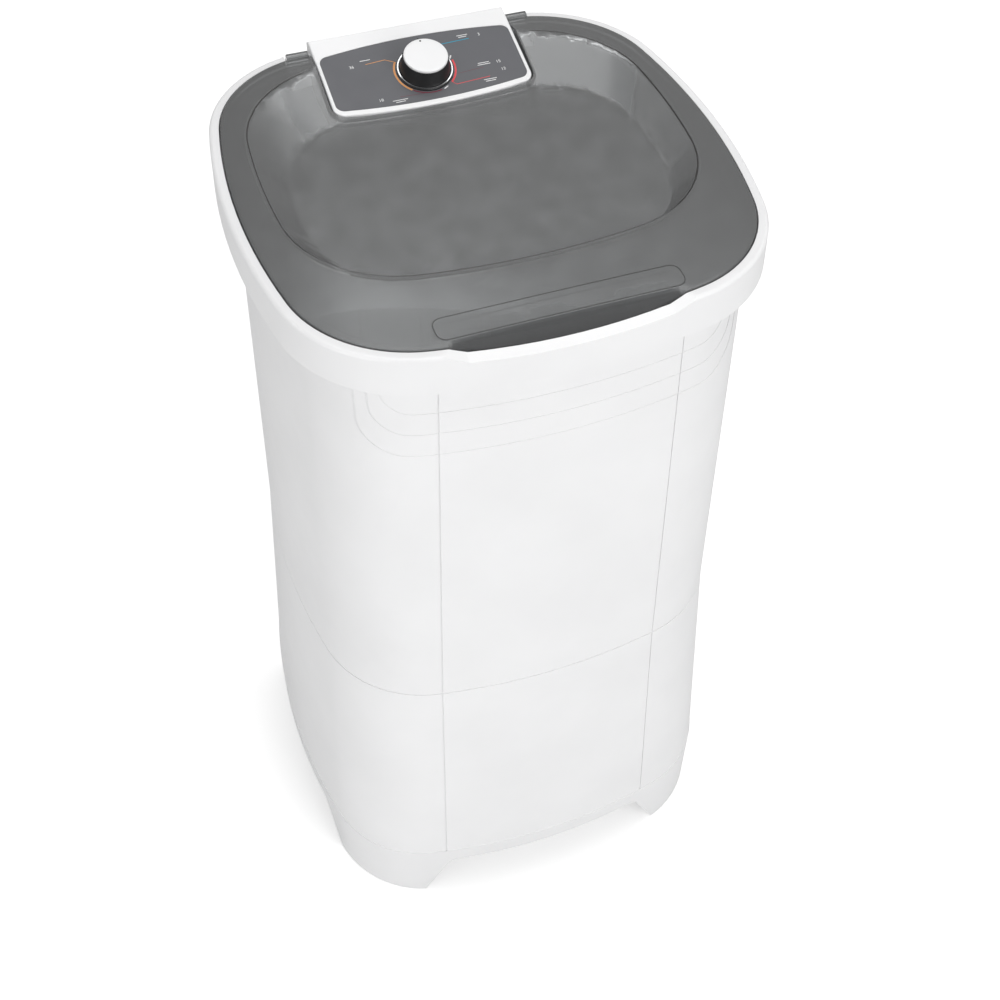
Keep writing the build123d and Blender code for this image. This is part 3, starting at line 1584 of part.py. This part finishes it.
with BuildPart() as capacitor_clip:
    with BuildSketch(drive_plane.offset(bracket_bottom - 50)):
        with Locations((capacitor_reach, 0)):
            Circle(capacitor_radius + 1.5)
            Circle(capacitor_radius, mode=Mode.SUBTRACT)
    extrude(amount=12)
    with BuildSketch(drive_plane.offset(bracket_bottom - 50)):
        with Locations((capacitor_reach, capacitor_radius + 1.1)):
            Rectangle(12, 1.5)
    extrude(amount=50)
capacitor_clip.part.label = "capacitor_clip"

# Drain: hose from the tub's spout to the spigot in the back, and the grommet for the cord
hose_bore = spigot_radius
hose_radius = hose_bore + hose_wall
nut_length = 6.0
hose_end_y = pocket_floor_y - nut_length - 2

with BuildPart() as drain_hose:
    with BuildLine(Plane.YZ.offset(drain_x)) as hose_line:
        FilletPolyline(
            (drain_y, spout_bottom + 22),
            (drain_y, drain_z),
            (hose_end_y, drain_z),
            radius=hose_bend,
        )
    hose_path = hose_line.wire()
    with BuildSketch(Plane(origin=hose_path @ 0, z_dir=hose_path % 0)):
        Circle(hose_radius)
        Circle(hose_bore, mode=Mode.SUBTRACT)
    sweep(path=hose_path)
drain_hose.part.label = "drain_hose"

with BuildPart() as hose_clamps:
    with Locations(
        Location((drain_x, drain_y, spout_bottom + 11)),
        Location((drain_x, hose_end_y - 12, drain_z), (90, 0, 0)),
    ):
        Cylinder(hose_radius + clamp_thickness, clamp_width)
        Hole(hose_radius, 2 * clamp_width)
hose_clamps.part.label = "hose_clamps"

pocket_face_y = pocket_floor_y + cabinet_wall

with BuildPart() as drain_spigot:
    with BuildSketch(Plane.XZ.offset(-(hose_end_y - 24))):
        with Locations((drain_x, drain_z)):
            Circle(spigot_radius)
            Circle(spigot_bore, mode=Mode.SUBTRACT)
    extrude(amount=-(spigot_end_y - hose_end_y + 24))
    with BuildSketch(Plane.XZ.offset(-pocket_face_y)):
        with Locations((drain_x, drain_z)):
            Circle(spigot_flange_radius)
            Circle(spigot_bore, mode=Mode.SUBTRACT)
    extrude(amount=-3)
drain_spigot.part.label = "drain_spigot"

with BuildPart() as spigot_nut:
    with BuildSketch(Plane.XZ.offset(-(pocket_floor_y - nut_length))):
        with Locations((drain_x, drain_z)):
            RegularPolygon(spigot_flange_radius, 6)
            Circle(spigot_radius, mode=Mode.SUBTRACT)
    extrude(amount=-nut_length)
spigot_nut.part.label = "spigot_nut"

grommet_back_y = pocket_floor_y - grommet_lip
grommet_length = cabinet_wall + 2 * grommet_lip

with BuildPart() as cord_grommet:
    # Square neck in the cabinet's hole, between two round lips
    with BuildSketch(Plane.XZ.offset(-pocket_floor_y)):
        with Locations((cord_inlet_x, drain_z)):
            RectangleRounded(cord_hole_width, cord_hole_width, cord_hole_corner)
    extrude(amount=-cabinet_wall)
    for lip_y in (grommet_back_y, pocket_face_y):
        with BuildSketch(Plane.XZ.offset(-lip_y)):
            with Locations((cord_inlet_x, drain_z)):
                Circle(grommet_radius)
        extrude(amount=-grommet_lip)
    with BuildSketch(Plane.XZ.offset(-grommet_back_y)):
        with Locations((cord_inlet_x, drain_z)):
            Circle(cord_bore)
    extrude(amount=-grommet_length, mode=Mode.SUBTRACT)
cord_grommet.part.label = "cord_grommet"

with BuildPart() as rim_screws:
    screws(rim_screw_spots, cabinet_top - cabinet_flange, 18, screw_head_radius, screw_radius)
rim_screws.part.label = "rim_screws"

pieces = (
    cabinet,
    foot_pads,
    top_rim,
    rim_screws,
    tub,
    lint_filter,
    lid,
    hinge_pins,
    console_housing,
    console_base,
    console_screws,
    control_panel,
    timer_cover,
    timer,
    timer_screws,
    timer_shaft,
    knob_bezel,
    knob_trim_ring,
    knob_skirt,
    knob_cap,
    bearing_housing,
    bearing_gasket,
    bearing_screws,
    shaft_bushes,
    shaft_seal,
    shaft_clip,
    impeller,
    impeller_bolt,
    impeller_cap,
    impeller_shaft,
    driven_pulley,
    pulley_nut,
    drive_belt,
    motor_bracket,
    bracket_screws,
    motor_mounts,
    motor_screws,
    motor_upper_shield,
    motor_lower_shield,
    motor_stator,
    motor_windings,
    motor_rotor,
    motor_pulley,
    motor_fan,
    capacitor,
    capacitor_clip,
    drain_hose,
    hose_clamps,
    drain_spigot,
    spigot_nut,
    cord_grommet,
)

os.makedirs("parts", exist_ok=True)
for piece in pieces:
    export_step(piece.part, f"parts/{piece.part.label}.step")
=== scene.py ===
import json
import math

import bmesh
import bpy
from mathutils import Matrix, Vector


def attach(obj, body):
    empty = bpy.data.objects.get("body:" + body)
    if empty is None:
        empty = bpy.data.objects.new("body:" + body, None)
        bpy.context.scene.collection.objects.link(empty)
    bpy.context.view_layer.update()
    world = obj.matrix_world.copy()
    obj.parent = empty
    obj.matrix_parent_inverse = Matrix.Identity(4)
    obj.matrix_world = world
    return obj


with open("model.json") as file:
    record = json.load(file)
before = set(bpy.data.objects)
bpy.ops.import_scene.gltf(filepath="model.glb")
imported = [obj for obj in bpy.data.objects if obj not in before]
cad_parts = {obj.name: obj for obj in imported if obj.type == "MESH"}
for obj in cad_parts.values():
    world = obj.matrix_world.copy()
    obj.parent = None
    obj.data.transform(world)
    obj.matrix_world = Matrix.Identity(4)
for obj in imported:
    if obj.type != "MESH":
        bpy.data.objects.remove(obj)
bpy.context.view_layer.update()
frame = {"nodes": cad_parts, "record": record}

# Looks of a top-loading semi-automatic washer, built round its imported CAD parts. Metres, +Z up,
# front at -Y, except where a comment says millimetres.

# Camera, from its place and turns and the focal length in pixels of a 1000 pixel square picture
camera_place = Vector((-0.3788, -1.0829, 1.7958))
camera_yaw = math.radians(20.4726)
camera_pitch = math.radians(49.2878)
camera_roll = math.radians(1.0403)
picture_size = 1000.0
focal_pixels = 1446.9
centre_pixel_x = 499.32
centre_pixel_y = 494.88
sensor_width_mm = 36.0

# Plane of the console's panel, and heights off it
panel_origin = Vector((0.0, 0.175, 0.9466))
panel_slope = math.radians(13.9)
panel_across = Vector((1.0, 0.0, 0.0))
panel_up = Vector((0.0, math.cos(panel_slope), math.sin(panel_slope)))
panel_normal = Vector((0.0, -math.sin(panel_slope), math.cos(panel_slope)))
panel_turn = Matrix((panel_across, panel_up, panel_normal)).transposed().to_4x4()
overlay_top = -0.0002
print_height = 0.00006
cap_top = 0.0203
cap_mark_sink = 0.00005
cap_mark_radius = 0.0011
cap_mark_sides = 20

# Printing on the panel, in millimetres across and up from the knob's axis
dial_radius = 32.0
thick_arc = 2.0
thin_arc = 1.3
thick_leader = 1.1
leader = 0.7
thin_leader = 0.35
number_size = 5.2
arc_steps = 28
long_tick = 1.5
short_tick = 1.2
caption_bar = 0.8
caption_step = 2.4
cap_mark_up = 19.4

# The lid's dish, an oval with square shoulders, and its front lip
dish_half_width = 0.211
dish_half_depth = 0.181
dish_middle = 0.029
dish_power = 3.0
crest_level = 0.9558
crest_step = 4
lip_back = -0.2272
lip_half_width = 0.106

# The raised plate behind the lip
plate_half_width = 0.1155
plate_back = -0.1995
plate_front = -0.2258
plate_corner = 0.009
corner_steps = 6
plate_point_gap = 0.012

# Painted shade: dark strips laid along the lid's edges
above_lid = 1.1
step_line_inset = 0.0012
step_line_width = 0.0011
step_front_from = -0.108
step_front_width = 0.0034
plate_line_width = 0.0007
line_rise = 0.00015
step_front_rise = 0.0003
longest_gap = 0.03

# Angle between faces from which an edge is a real one, and the gap that a weld closes
real_edge_from = math.radians(26)
lid_sharp_from = math.radians(42)
weld_gap = 0.000002

# Range in which most of the noise lies, and the noise and bumps of moulded surfaces
noise_low = 0.3
noise_high = 0.7
patch_scale = 9.0
gloss_scale = 60.0
gloss_vary = 0.12
bump_distance = 0.0001
grain_detail = 2.0

# Floor: half its side, its colour, and its glow for the camera near and far from the object
floor_reach = 9.0
floor_colour = (0.8, 0.8, 0.8, 1.0)
floor_roughness = 0.9
near_reach, near_glow = 0.9, 0.5
far_reach, far_glow = 3.2, 0.68

# World
white = (1.0, 1.0, 1.0, 1.0)
world_light = 0.44
white_level = 1.0

# Places of the colour sockets on Blender's Mix node
mix_low, mix_high, mix_result = 6, 7, 2


def tinted(colour, factor):
    """A colour made lighter or darker by a factor, with full alpha."""
    return tuple(min(1.0, part * factor) for part in colour) + (1.0,)


def add_node(tree, kind, inputs=None):
    """A new shader node, its inputs given by name or place as sockets to link or as values."""
    node = tree.nodes.new("ShaderNode" + kind)
    for key, value in (inputs or {}).items():
        fill(tree, node.inputs[key], value)
    return node


def fill(tree, socket, value):
    """Links a socket to another, or sets its own value."""
    if isinstance(value, bpy.types.NodeSocket):
        tree.links.new(value, socket)
    else:
        socket.default_value = value


def start_material(name):
    """A new node material with its tree and its main shader."""
    material = bpy.data.materials.new(name)
    material.use_nodes = True
    tree = material.node_tree
    return material, tree, tree.nodes["Principled BSDF"]


def noise(tree, scale, detail=3.0, stretch=(1.0, 1.0, 1.0)):
    """Noise fixed to the object, its scale in waves per metre."""
    place = add_node(tree, "TexCoord").outputs["Object"]
    mapping = add_node(tree, "Mapping", {"Vector": place, "Scale": stretch})
    vector = mapping.outputs["Vector"]
    texture = add_node(tree, "TexNoise", {"Vector": vector, "Scale": scale, "Detail": detail})
    return texture.outputs["Fac"]


def ranged(tree, value, low, high, start=noise_low, end=noise_high):
    """A value spread from its own range, as a rule the noise's, over another."""
    spread = {"Value": value, "From Min": start, "From Max": end, "To Min": low, "To Max": high}
    return add_node(tree, "MapRange", spread).outputs["Result"]


def bumped(tree, height, strength):
    """A normal with fine relief."""
    relief = {"Height": height, "Strength": strength, "Distance": bump_distance}
    return add_node(tree, "Bump", relief).outputs["Normal"]


def surfaced(
    name, colour, roughness, grain, bump, metallic=0.0, coat=0.0, stretch=(1, 1, 1), vary=0.02
):
    """A moulded, cast or rolled surface: slight colour change, uneven gloss, and a fine grain of so
    many waves per metre that a bump raises."""
    material, tree, shader = start_material(name)
    patches = add_node(tree, "ValToRGB", {"Fac": noise(tree, patch_scale)})
    darker, lighter = patches.color_ramp.elements
    darker.position = noise_low
    lighter.position = noise_high
    darker.color = tinted(colour, 1.0 - vary)
    lighter.color = tinted(colour, 1.0 + vary)
    glossiest, dullest = roughness * (1.0 - gloss_vary), roughness * (1.0 + gloss_vary)
    gloss = ranged(tree, noise(tree, gloss_scale), glossiest, dullest)
    relief = bumped(tree, noise(tree, grain, grain_detail, stretch), bump)
    fill(tree, shader.inputs["Base Color"], patches.outputs["Color"])
    fill(tree, shader.inputs["Roughness"], gloss)
    fill(tree, shader.inputs["Normal"], relief)
    fill(tree, shader.inputs["Metallic"], metallic)
    fill(tree, shader.inputs["Coat Weight"], coat)
    return material


def reckon(tree, kind, first, second=0.0):
    """A sum, product, power or test of two values, each a socket or a number."""
    step = add_node(tree, "Math", {0: first, 1: second})
    step.operation = kind
    return step.outputs["Value"]


def blended(tree, share, low, high):
    """One of two colours, by a share from 0 to 1."""
    mix = add_node(tree, "Mix")
    mix.data_type = "RGBA"
    fill(tree, mix.inputs["Factor"], share)
    fill(tree, mix.inputs[mix_low], low)
    fill(tree, mix.inputs[mix_high], high)
    return mix.outputs[mix_result]


def lid_zones(tree):
    """Tests of a place on the lid: in the flange outside the dish, and in the front lip, the two
    places that get painted shade.
    """
    place = add_node(tree, "TexCoord").outputs["Object"]
    parts = add_node(tree, "SeparateXYZ", {"Vector": place})
    across = reckon(tree, "ABSOLUTE", parts.outputs["X"])
    along = parts.outputs["Y"]
    wide = reckon(tree, "POWER", reckon(tree, "DIVIDE", across, dish_half_width), dish_power)
    from_middle = reckon(tree, "ABSOLUTE", reckon(tree, "SUBTRACT", along, dish_middle))
    deep = reckon(tree, "POWER", reckon(tree, "DIVIDE", from_middle, dish_half_depth), dish_power)
    flange = reckon(tree, "GREATER_THAN", reckon(tree, "ADD", wide, deep), 1.0)
    front = reckon(tree, "LESS_THAN", along, lip_back)
    middle = reckon(tree, "LESS_THAN", across, lip_half_width)
    return flange, reckon(tree, "MULTIPLY", front, middle)


def smoked(name):
    """Smoked clear plastic: darker where seen edge on, with painted shade that darkens the flange
    and the front lip.
    """
    material, tree, haze = start_material(name)
    # Painted shade: the flange and the front lip get darker tints than the dish, and the lip a
    # darker haze.
    dish_tint, flange_shade_tint = (0.86, 0.87, 0.875, 1.0), (0.52, 0.53, 0.535, 1.0)
    lip_shade_tint, edge_tint = (0.45, 0.455, 0.46, 1.0), (0.4, 0.405, 0.41, 1.0)
    haze_colour, lip_shade_haze = (0.48, 0.486, 0.488, 1.0), (0.2, 0.202, 0.204, 1.0)
    haze_roughness, haze_least, haze_most, haze_scale = 0.45, 0.235, 0.245, 6.0
    gloss_least, gloss_most, gloss_waves, plastic_ior = 0.16, 0.22, 40.0, 1.42
    relief_scale, relief_strength = 14.0, 0.03

    flange, lip = lid_zones(tree)
    facing = add_node(tree, "LayerWeight", {"Blend": 0.5}).outputs["Facing"]
    edge_on = ranged(tree, facing, 0.0, 1.0)
    # Painted shade: a darker tint in the flange, then in the front lip.
    sheet = blended(tree, flange, dish_tint, flange_shade_tint)
    sheet = blended(tree, lip, sheet, lip_shade_tint)
    sheet = blended(tree, edge_on, sheet, edge_tint)
    through = add_node(tree, "BsdfTransparent", {"Color": sheet})

    relief = bumped(tree, noise(tree, relief_scale, 1.0), relief_strength)
    # Painted shade: a darker haze in the front lip.
    fill(tree, haze.inputs["Base Color"], blended(tree, lip, haze_colour, lip_shade_haze))
    fill(tree, haze.inputs["Roughness"], haze_roughness)
    fill(tree, haze.inputs["Normal"], relief)
    share = ranged(tree, noise(tree, haze_scale), haze_least, haze_most)
    body = add_node(
        tree, "MixShader", {"Fac": share, 1: through.outputs["BSDF"], 2: haze.outputs["BSDF"]}
    )

    dullness = ranged(tree, noise(tree, gloss_waves), gloss_least, gloss_most)
    gloss = add_node(tree, "BsdfGlossy", {"Roughness": dullness, "Normal": relief})
    mirror = add_node(tree, "Fresnel", {"IOR": plastic_ior})
    shine = add_node(
        tree,
        "MixShader",
        {"Fac": mirror.outputs["Fac"], 1: body.outputs["Shader"], 2: gloss.outputs["BSDF"]},
    )
    fill(tree, tree.nodes["Material Output"].inputs["Surface"], shine.outputs["Shader"])
    return material


materials = {
    "white_plastic": surfaced("white_moulded", (0.84, 0.84, 0.845), 0.34, 1400.0, 0.10, coat=0.1),
    "smoked_plastic": smoked("smoked_clear"),
    "dark_plastic": surfaced("dark_moulded", (0.012, 0.012, 0.013), 0.38, 1600.0, 0.15, vary=0.06),
    "overlay": surfaced("printed_overlay", (0.105, 0.107, 0.117), 0.45, 3200.0, 0.12, vary=0.03),
    "bright_ring": surfaced("plated_bright", (0.78, 0.79, 0.8), 0.14, 900.0, 0.03, metallic=1.0),
    "tub_plastic": surfaced("tub_moulded", (0.86, 0.87, 0.875), 0.5, 900.0, 0.25, vary=0.01),
    "impeller_plastic": surfaced("impeller_moulded", (0.6, 0.64, 0.67), 0.32, 900.0, 0.12),
    "rubber": surfaced("black_rubber", (0.018, 0.018, 0.018), 0.75, 1100.0, 0.5, vary=0.12),
    "steel": surfaced(
        "zinc_steel", (0.52, 0.53, 0.54), 0.38, 420.0, 0.2, metallic=1.0, stretch=(1, 1, 9)
    ),
    "aluminium": surfaced("cast_aluminium", (0.6, 0.6, 0.61), 0.5, 800.0, 0.6, metallic=1.0),
    "laminations": surfaced(
        "stacked_laminations", (0.12, 0.12, 0.125), 0.5, 60.0, 0.8, metallic=0.7, stretch=(1, 1, 40)
    ),
    "windings": surfaced(
        "varnished_copper", (0.42, 0.16, 0.06), 0.3, 300.0, 0.9, metallic=0.8, stretch=(3, 3, 1)
    ),
    "bronze": surfaced("sintered_bronze", (0.38, 0.24, 0.11), 0.5, 1500.0, 0.4, metallic=1.0),
    "pulley_plastic": surfaced("filled_plastic", (0.03, 0.03, 0.032), 0.55, 700.0, 0.4, vary=0.1),
}


def finish_node(node, material):
    """Gives a CAD node its material and a smooth shading that keeps its real edges."""
    piece = frame["nodes"][node]
    piece.data.materials.clear()
    piece.data.materials.append(material)
    for face in piece.data.polygons:
        face.use_smooth = True
        face.material_index = 0
    weld = piece.modifiers.new("weld", "WELD")
    weld.merge_threshold = weld_gap
    split = piece.modifiers.new("edges", "EDGE_SPLIT")
    split.split_angle = lid_sharp_from if node == "lid" else real_edge_from
    normals = piece.modifiers.new("normals", "WEIGHTED_NORMAL")
    normals.keep_sharp = True


for part in frame["record"]["subparts"]:
    finish_node(part["node"], materials[part["material_slot"]])


def ink(name, colour):
    """Printed ink, slightly uneven."""
    return surfaced(name, colour, roughness=0.5, grain=2600.0, bump=0.08, vary=0.04)


white_ink = ink("ink_white", (0.8, 0.8, 0.8))
orange_ink = ink("ink_orange", (0.68, 0.3, 0.1))
dark_red_ink = ink("ink_dark_red", (0.16, 0.015, 0.035))
red_ink = ink("ink_red", (0.72, 0.06, 0.07))
blue_ink = ink("ink_blue", (0.03, 0.27, 0.4))
# Painted shade: the dark colour of the strips laid along the lid's edges.
lid_edge_shade = surfaced("lid_edge_painted_shade", (0.035, 0.033, 0.032), 0.3, 900.0, 0.05, vary=0.05)


def on_panel(across, up, height):
    """A point on the console's panel, in millimetres across and up and metres off its plane."""
    return (
        panel_origin
        + panel_across * (across / 1000)
        + panel_up * (up / 1000)
        + panel_normal * height
    )


def meshed(name, form):
    """A mesh made from a form, which is freed."""
    mesh = bpy.data.meshes.new(name)
    form.to_mesh(mesh)
    form.free()
    return mesh


def add_piece(name, mesh, material, body):
    """Puts a made mesh in the scene on one of the CAD bodies."""
    piece = bpy.data.objects.new(name, mesh)
    bpy.context.collection.objects.link(piece)
    piece.data.materials.append(material)
    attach(piece, body)


def sideways(points, index, width):
    """Half a line's width, square to the line at one of its points."""
    before = Vector(points[max(index - 1, 0)])
    after = Vector(points[min(index + 1, len(points) - 1)])
    along = (after - before).normalized()
    return Vector((-along.y, along.x)) * width / 2


def ribbon(name, points, width, material):
    """A printed line of one width along points on the panel."""
    form = bmesh.new()
    height = overlay_top + print_height
    left = []
    right = []
    for index, (across, up) in enumerate(points):
        side = sideways(points, index, width)
        left.append(form.verts.new(on_panel(across + side.x, up + side.y, height)))
        right.append(form.verts.new(on_panel(across - side.x, up - side.y, height)))
    for index in range(len(points) - 1):
        form.faces.new((right[index], right[index + 1], left[index + 1], left[index]))
    add_piece(name, meshed(name, form), material, "cabinet")


def dial_arc(name, start, end, width, material):
    """A printed arc round the knob, angles in degrees from the right, counterclockwise."""
    stops = range(arc_steps + 1)
    turns = [math.radians(start + (end - start) * stop / arc_steps) for stop in stops]
    points = [(dial_radius * math.cos(turn), dial_radius * math.sin(turn)) for turn in turns]
    ribbon(name, points, width, material)


def number(name, text, across, up):
    """A plain number printed on the panel, its middle at a place."""
    curve = bpy.data.curves.new(name, "FONT")
    curve.body = text
    curve.size = number_size / 1000
    curve.align_x = "CENTER"
    curve.align_y = "CENTER"
    source = bpy.data.objects.new(name + "_source", curve)
    bpy.context.collection.objects.link(source)
    bpy.context.view_layer.update()
    mesh = bpy.data.meshes.new_from_object(source)
    bpy.data.objects.remove(source)
    place = Matrix.Translation(on_panel(across, up, overlay_top + print_height))
    mesh.transform(place @ panel_turn)
    mesh.name = name
    add_piece(name, mesh, white_ink, "cabinet")


def printed_bars(name, across, up, lengths):
    """Short plain bars where the panel has its small captions."""
    for index, length in enumerate(lengths):
        height = up - caption_step * index
        points = [(across - length / 2, height), (across + length / 2, height)]
        ribbon(f"{name}_{index}", points, caption_bar, white_ink)


def cap_mark():
    """The small dark mark near the cap's far edge that points at the dial."""
    form = bmesh.new()
    bmesh.ops.create_circle(form, cap_ends=True, segments=cap_mark_sides, radius=cap_mark_radius)
    mesh = meshed("cap_mark", form)
    place = Matrix.Translation(on_panel(0, cap_mark_up, cap_top - cap_mark_sink))
    mesh.transform(place @ panel_turn)
    add_piece("cap_mark", mesh, materials["dark_plastic"], "knob")


dial_arc("dial_arc_left", 149, 229, thick_arc, orange_ink)
dial_arc("dial_arc_bottom", 231, 286, thin_arc, dark_red_ink)
dial_arc("dial_arc_right", -46, 10, thick_arc, red_ink)
ribbon("leader_left", [(-27.5, 16.5), (-37, 22), (-58, 20.5)], leader, orange_ink)
ribbon("leader_right", [(22, -23), (26, -27.5), (63, -25.5)], leader, red_ink)
ribbon("leader_middle", [(31.5, -14), (60, -12)], thin_leader, dark_red_ink)
ribbon("leader_bottom", [(-10, -31.5), (-36, -30)], thin_leader, dark_red_ink)
ribbon("leader_top", [(27, 29), (58, 30)], thick_leader, blue_ink)
ribbon("tick_right", [(29.4, 7.4), (32.0, 11.6)], long_tick, white_ink)
ribbon("tick_bottom", [(11.6, -30.4), (16.4, -27.6)], short_tick, white_ink)
for index, (text, across, up) in enumerate(
    (("36", -73, 20), ("18", -56, -30), ("3", 70, 33), ("15", 78, -8), ("12", 80, -19))
):
    number(f"dial_number_{index}", text, across, up)
printed_bars("caption_left", -57, 26, (11,))
printed_bars("caption_top", 52, 36, (12, 9))
printed_bars("caption_right", 62, -6, (12, 14))
printed_bars("caption_low", 62, -29, (14, 11))
printed_bars("caption_bottom", -37, -34, (16, 10))
cap_mark()

lid = frame["nodes"]["lid"]
into_lid = lid.matrix_world.inverted()
straight_down = into_lid.to_3x3() @ Vector((0.0, 0.0, -1.0))


def lid_level(x, y):
    """Height of the lid's top at a place, or None beside the lid."""
    hit, place, _, _ = lid.ray_cast(into_lid @ Vector((x, y, above_lid)), straight_down)
    return (lid.matrix_world @ place).z if hit else None


def lid_line(name, points, width, rise=line_rise):
    """A thin dark strip of painted shade laid on the lid's top along points, each set on the
    surface under it.
    """
    form = bmesh.new()
    sides = []
    for index, (x, y) in enumerate(points):
        side = sideways(points, index, width)
        places = ((x + side.x, y + side.y), (x - side.x, y - side.y))
        levels = [lid_level(*place) for place in places]
        if None not in levels:
            heights = [level + rise for level in levels]
            sides.append([form.verts.new((*place, z)) for place, z in zip(places, heights)])
    for first, second in zip(sides, sides[1:]):
        if (first[0].co - second[0].co).length < longest_gap:
            form.faces.new((first[1], second[1], second[0], first[0]))
    add_piece(name, meshed(name, form), lid_edge_shade, "lid")


def crest_points(inset):
    """The dish's top edge: at each angle round it the innermost of the lid's high points."""
    nearest = {}
    for vertex in lid.data.vertices:
        spot = lid.matrix_world @ vertex.co
        if spot.z < crest_level:
            continue
        turn = math.degrees(math.atan2(spot.y - dish_middle, spot.x))
        reach = math.hypot(spot.x, spot.y - dish_middle)
        sector = round(turn / crest_step)
        if sector not in nearest or reach < nearest[sector][0]:
            nearest[sector] = (reach, turn)
    ring = sorted((turn, reach) for reach, turn in nearest.values())
    start = next((i for i, (turn, _) in enumerate(ring) if turn > 90), 0)
    ring = ring[start:] + ring[:start]
    return [
        (
            (reach - inset) * math.cos(math.radians(turn)),
            dish_middle + (reach - inset) * math.sin(math.radians(turn)),
        )
        for turn, reach in ring
    ]


def plate_points():
    """Outline of the raised plate at the lid's front, rounded at its corners."""
    side = plate_half_width - plate_corner
    back = plate_back - plate_corner
    front = plate_front + plate_corner
    points = []
    for middle_x, middle_y, start in (
        (side, front, -90),
        (side, back, 0),
        (-side, back, 90),
        (-side, front, 180),
    ):
        for step in range(corner_steps + 1):
            turn = math.radians(start + 90 * step / corner_steps)
            points.append(
                (
                    middle_x + plate_corner * math.cos(turn),
                    middle_y + plate_corner * math.sin(turn),
                )
            )
    dense = []
    for first, second in zip(points, points[1:] + points[:1]):
        count = max(1, round(math.dist(first, second) / plate_point_gap))
        for step in range(count):
            share = step / count
            dense.append(tuple(a + (b - a) * share for a, b in zip(first, second)))
    return dense + dense[:2]


# Painted shade: dark strips along the dish's top edge, wider at its front, and round the handle
# plate.
step_edge = crest_points(step_line_inset)
step_front = [point for point in step_edge if point[1] < step_front_from]
lid_line("lid_step_shade_line", step_edge, step_line_width)
lid_line("lid_step_front_shade", step_front, step_front_width, step_front_rise)
lid_line("handle_plate_shade_line", plate_points(), plate_line_width)


def make_floor():
    """A wide pale floor that keeps the object's shadow and shows white to the camera."""
    form = bmesh.new()
    bmesh.ops.create_grid(form, x_segments=2, y_segments=2, size=floor_reach)
    mesh = meshed("studio_floor", form)
    floor = bpy.data.objects.new("studio_floor", mesh)
    bpy.context.collection.objects.link(floor)
    material, tree, shader = start_material("studio_floor")
    fill(tree, shader.inputs["Base Color"], floor_colour)
    fill(tree, shader.inputs["Roughness"], floor_roughness)
    place = add_node(tree, "TexCoord").outputs["Object"]
    reach = add_node(tree, "VectorMath", {0: place})
    reach.operation = "LENGTH"
    strength = ranged(tree, reach.outputs["Value"], near_glow, far_glow, near_reach, far_reach)
    seen = add_node(tree, "LightPath").outputs["Is Camera Ray"]
    glow = add_node(tree, "Emission", {"Strength": reckon(tree, "MULTIPLY", seen, strength)})
    both = add_node(tree, "AddShader", {0: shader.outputs["BSDF"], 1: glow.outputs["Emission"]})
    fill(tree, tree.nodes["Material Output"].inputs["Surface"], both.outputs["Shader"])
    mesh.materials.append(material)


def make_world():
    """Soft even light, with a white background for the camera and through clear plastic."""
    world = bpy.data.worlds.new("studio")
    bpy.context.scene.world = world
    world.use_nodes = True
    tree = world.node_tree
    soft = tree.nodes["Background"]
    fill(tree, soft.inputs["Color"], white)
    fill(tree, soft.inputs["Strength"], world_light)
    backdrop = add_node(tree, "Background", {"Color": white, "Strength": white_level})
    path = add_node(tree, "LightPath")
    camera_ray, clear_ray = path.outputs["Is Camera Ray"], path.outputs["Is Transmission Ray"]
    seen = reckon(tree, "MAXIMUM", camera_ray, clear_ray)
    choice = add_node(
        tree,
        "MixShader",
        {"Fac": seen, 1: soft.outputs["Background"], 2: backdrop.outputs["Background"]},
    )
    fill(tree, tree.nodes["World Output"].inputs["Surface"], choice.outputs["Shader"])


def lamp(name, place, aim, size, power):
    """A soft square lamp turned to a point."""
    data = bpy.data.lights.new(name, "AREA")
    data.size = size
    data.energy = power
    light = bpy.data.objects.new(name, data)
    bpy.context.collection.objects.link(light)
    light.location = place
    light.rotation_mode = "QUATERNION"
    light.rotation_quaternion = (Vector(aim) - Vector(place)).to_track_quat("-Z", "Y")


def make_camera():
    """The camera at the photograph's angle."""
    look = Vector(
        (
            math.sin(camera_yaw) * math.cos(camera_pitch),
            math.cos(camera_yaw) * math.cos(camera_pitch),
            -math.sin(camera_pitch),
        )
    )
    level = Vector((math.cos(camera_yaw), -math.sin(camera_yaw), 0.0))
    upright = level.cross(look)
    across = level * math.cos(camera_roll) + upright * math.sin(camera_roll)
    up = upright * math.cos(camera_roll) - level * math.sin(camera_roll)
    data = bpy.data.cameras.new("camera")
    data.sensor_fit = "HORIZONTAL"
    data.sensor_width = sensor_width_mm
    data.lens = sensor_width_mm * focal_pixels / picture_size
    data.shift_x = (picture_size / 2 - centre_pixel_x) / picture_size
    data.shift_y = (centre_pixel_y - picture_size / 2) / picture_size
    camera = bpy.data.objects.new("camera", data)
    bpy.context.collection.objects.link(camera)
    turn = Matrix((across, up, -look)).transposed()
    camera.matrix_world = Matrix.Translation(camera_place) @ turn.to_4x4()
    bpy.context.scene.camera = camera


make_floor()
make_world()
lamp("key_front", (1.2, -2.6, 1.9), (0.0, 0.0, 0.5), size=2.0, power=39.0)
lamp("top", (0.2, 0.2, 3.3), (0.0, 0.0, 0.9), size=2.4, power=33.0)
lamp("fill_left", (-2.6, -1.6, 0.9), (0.0, 0.0, 0.4), size=2.0, power=28.0)
make_camera()
bpy.context.scene.view_settings.view_transform = "Standard"
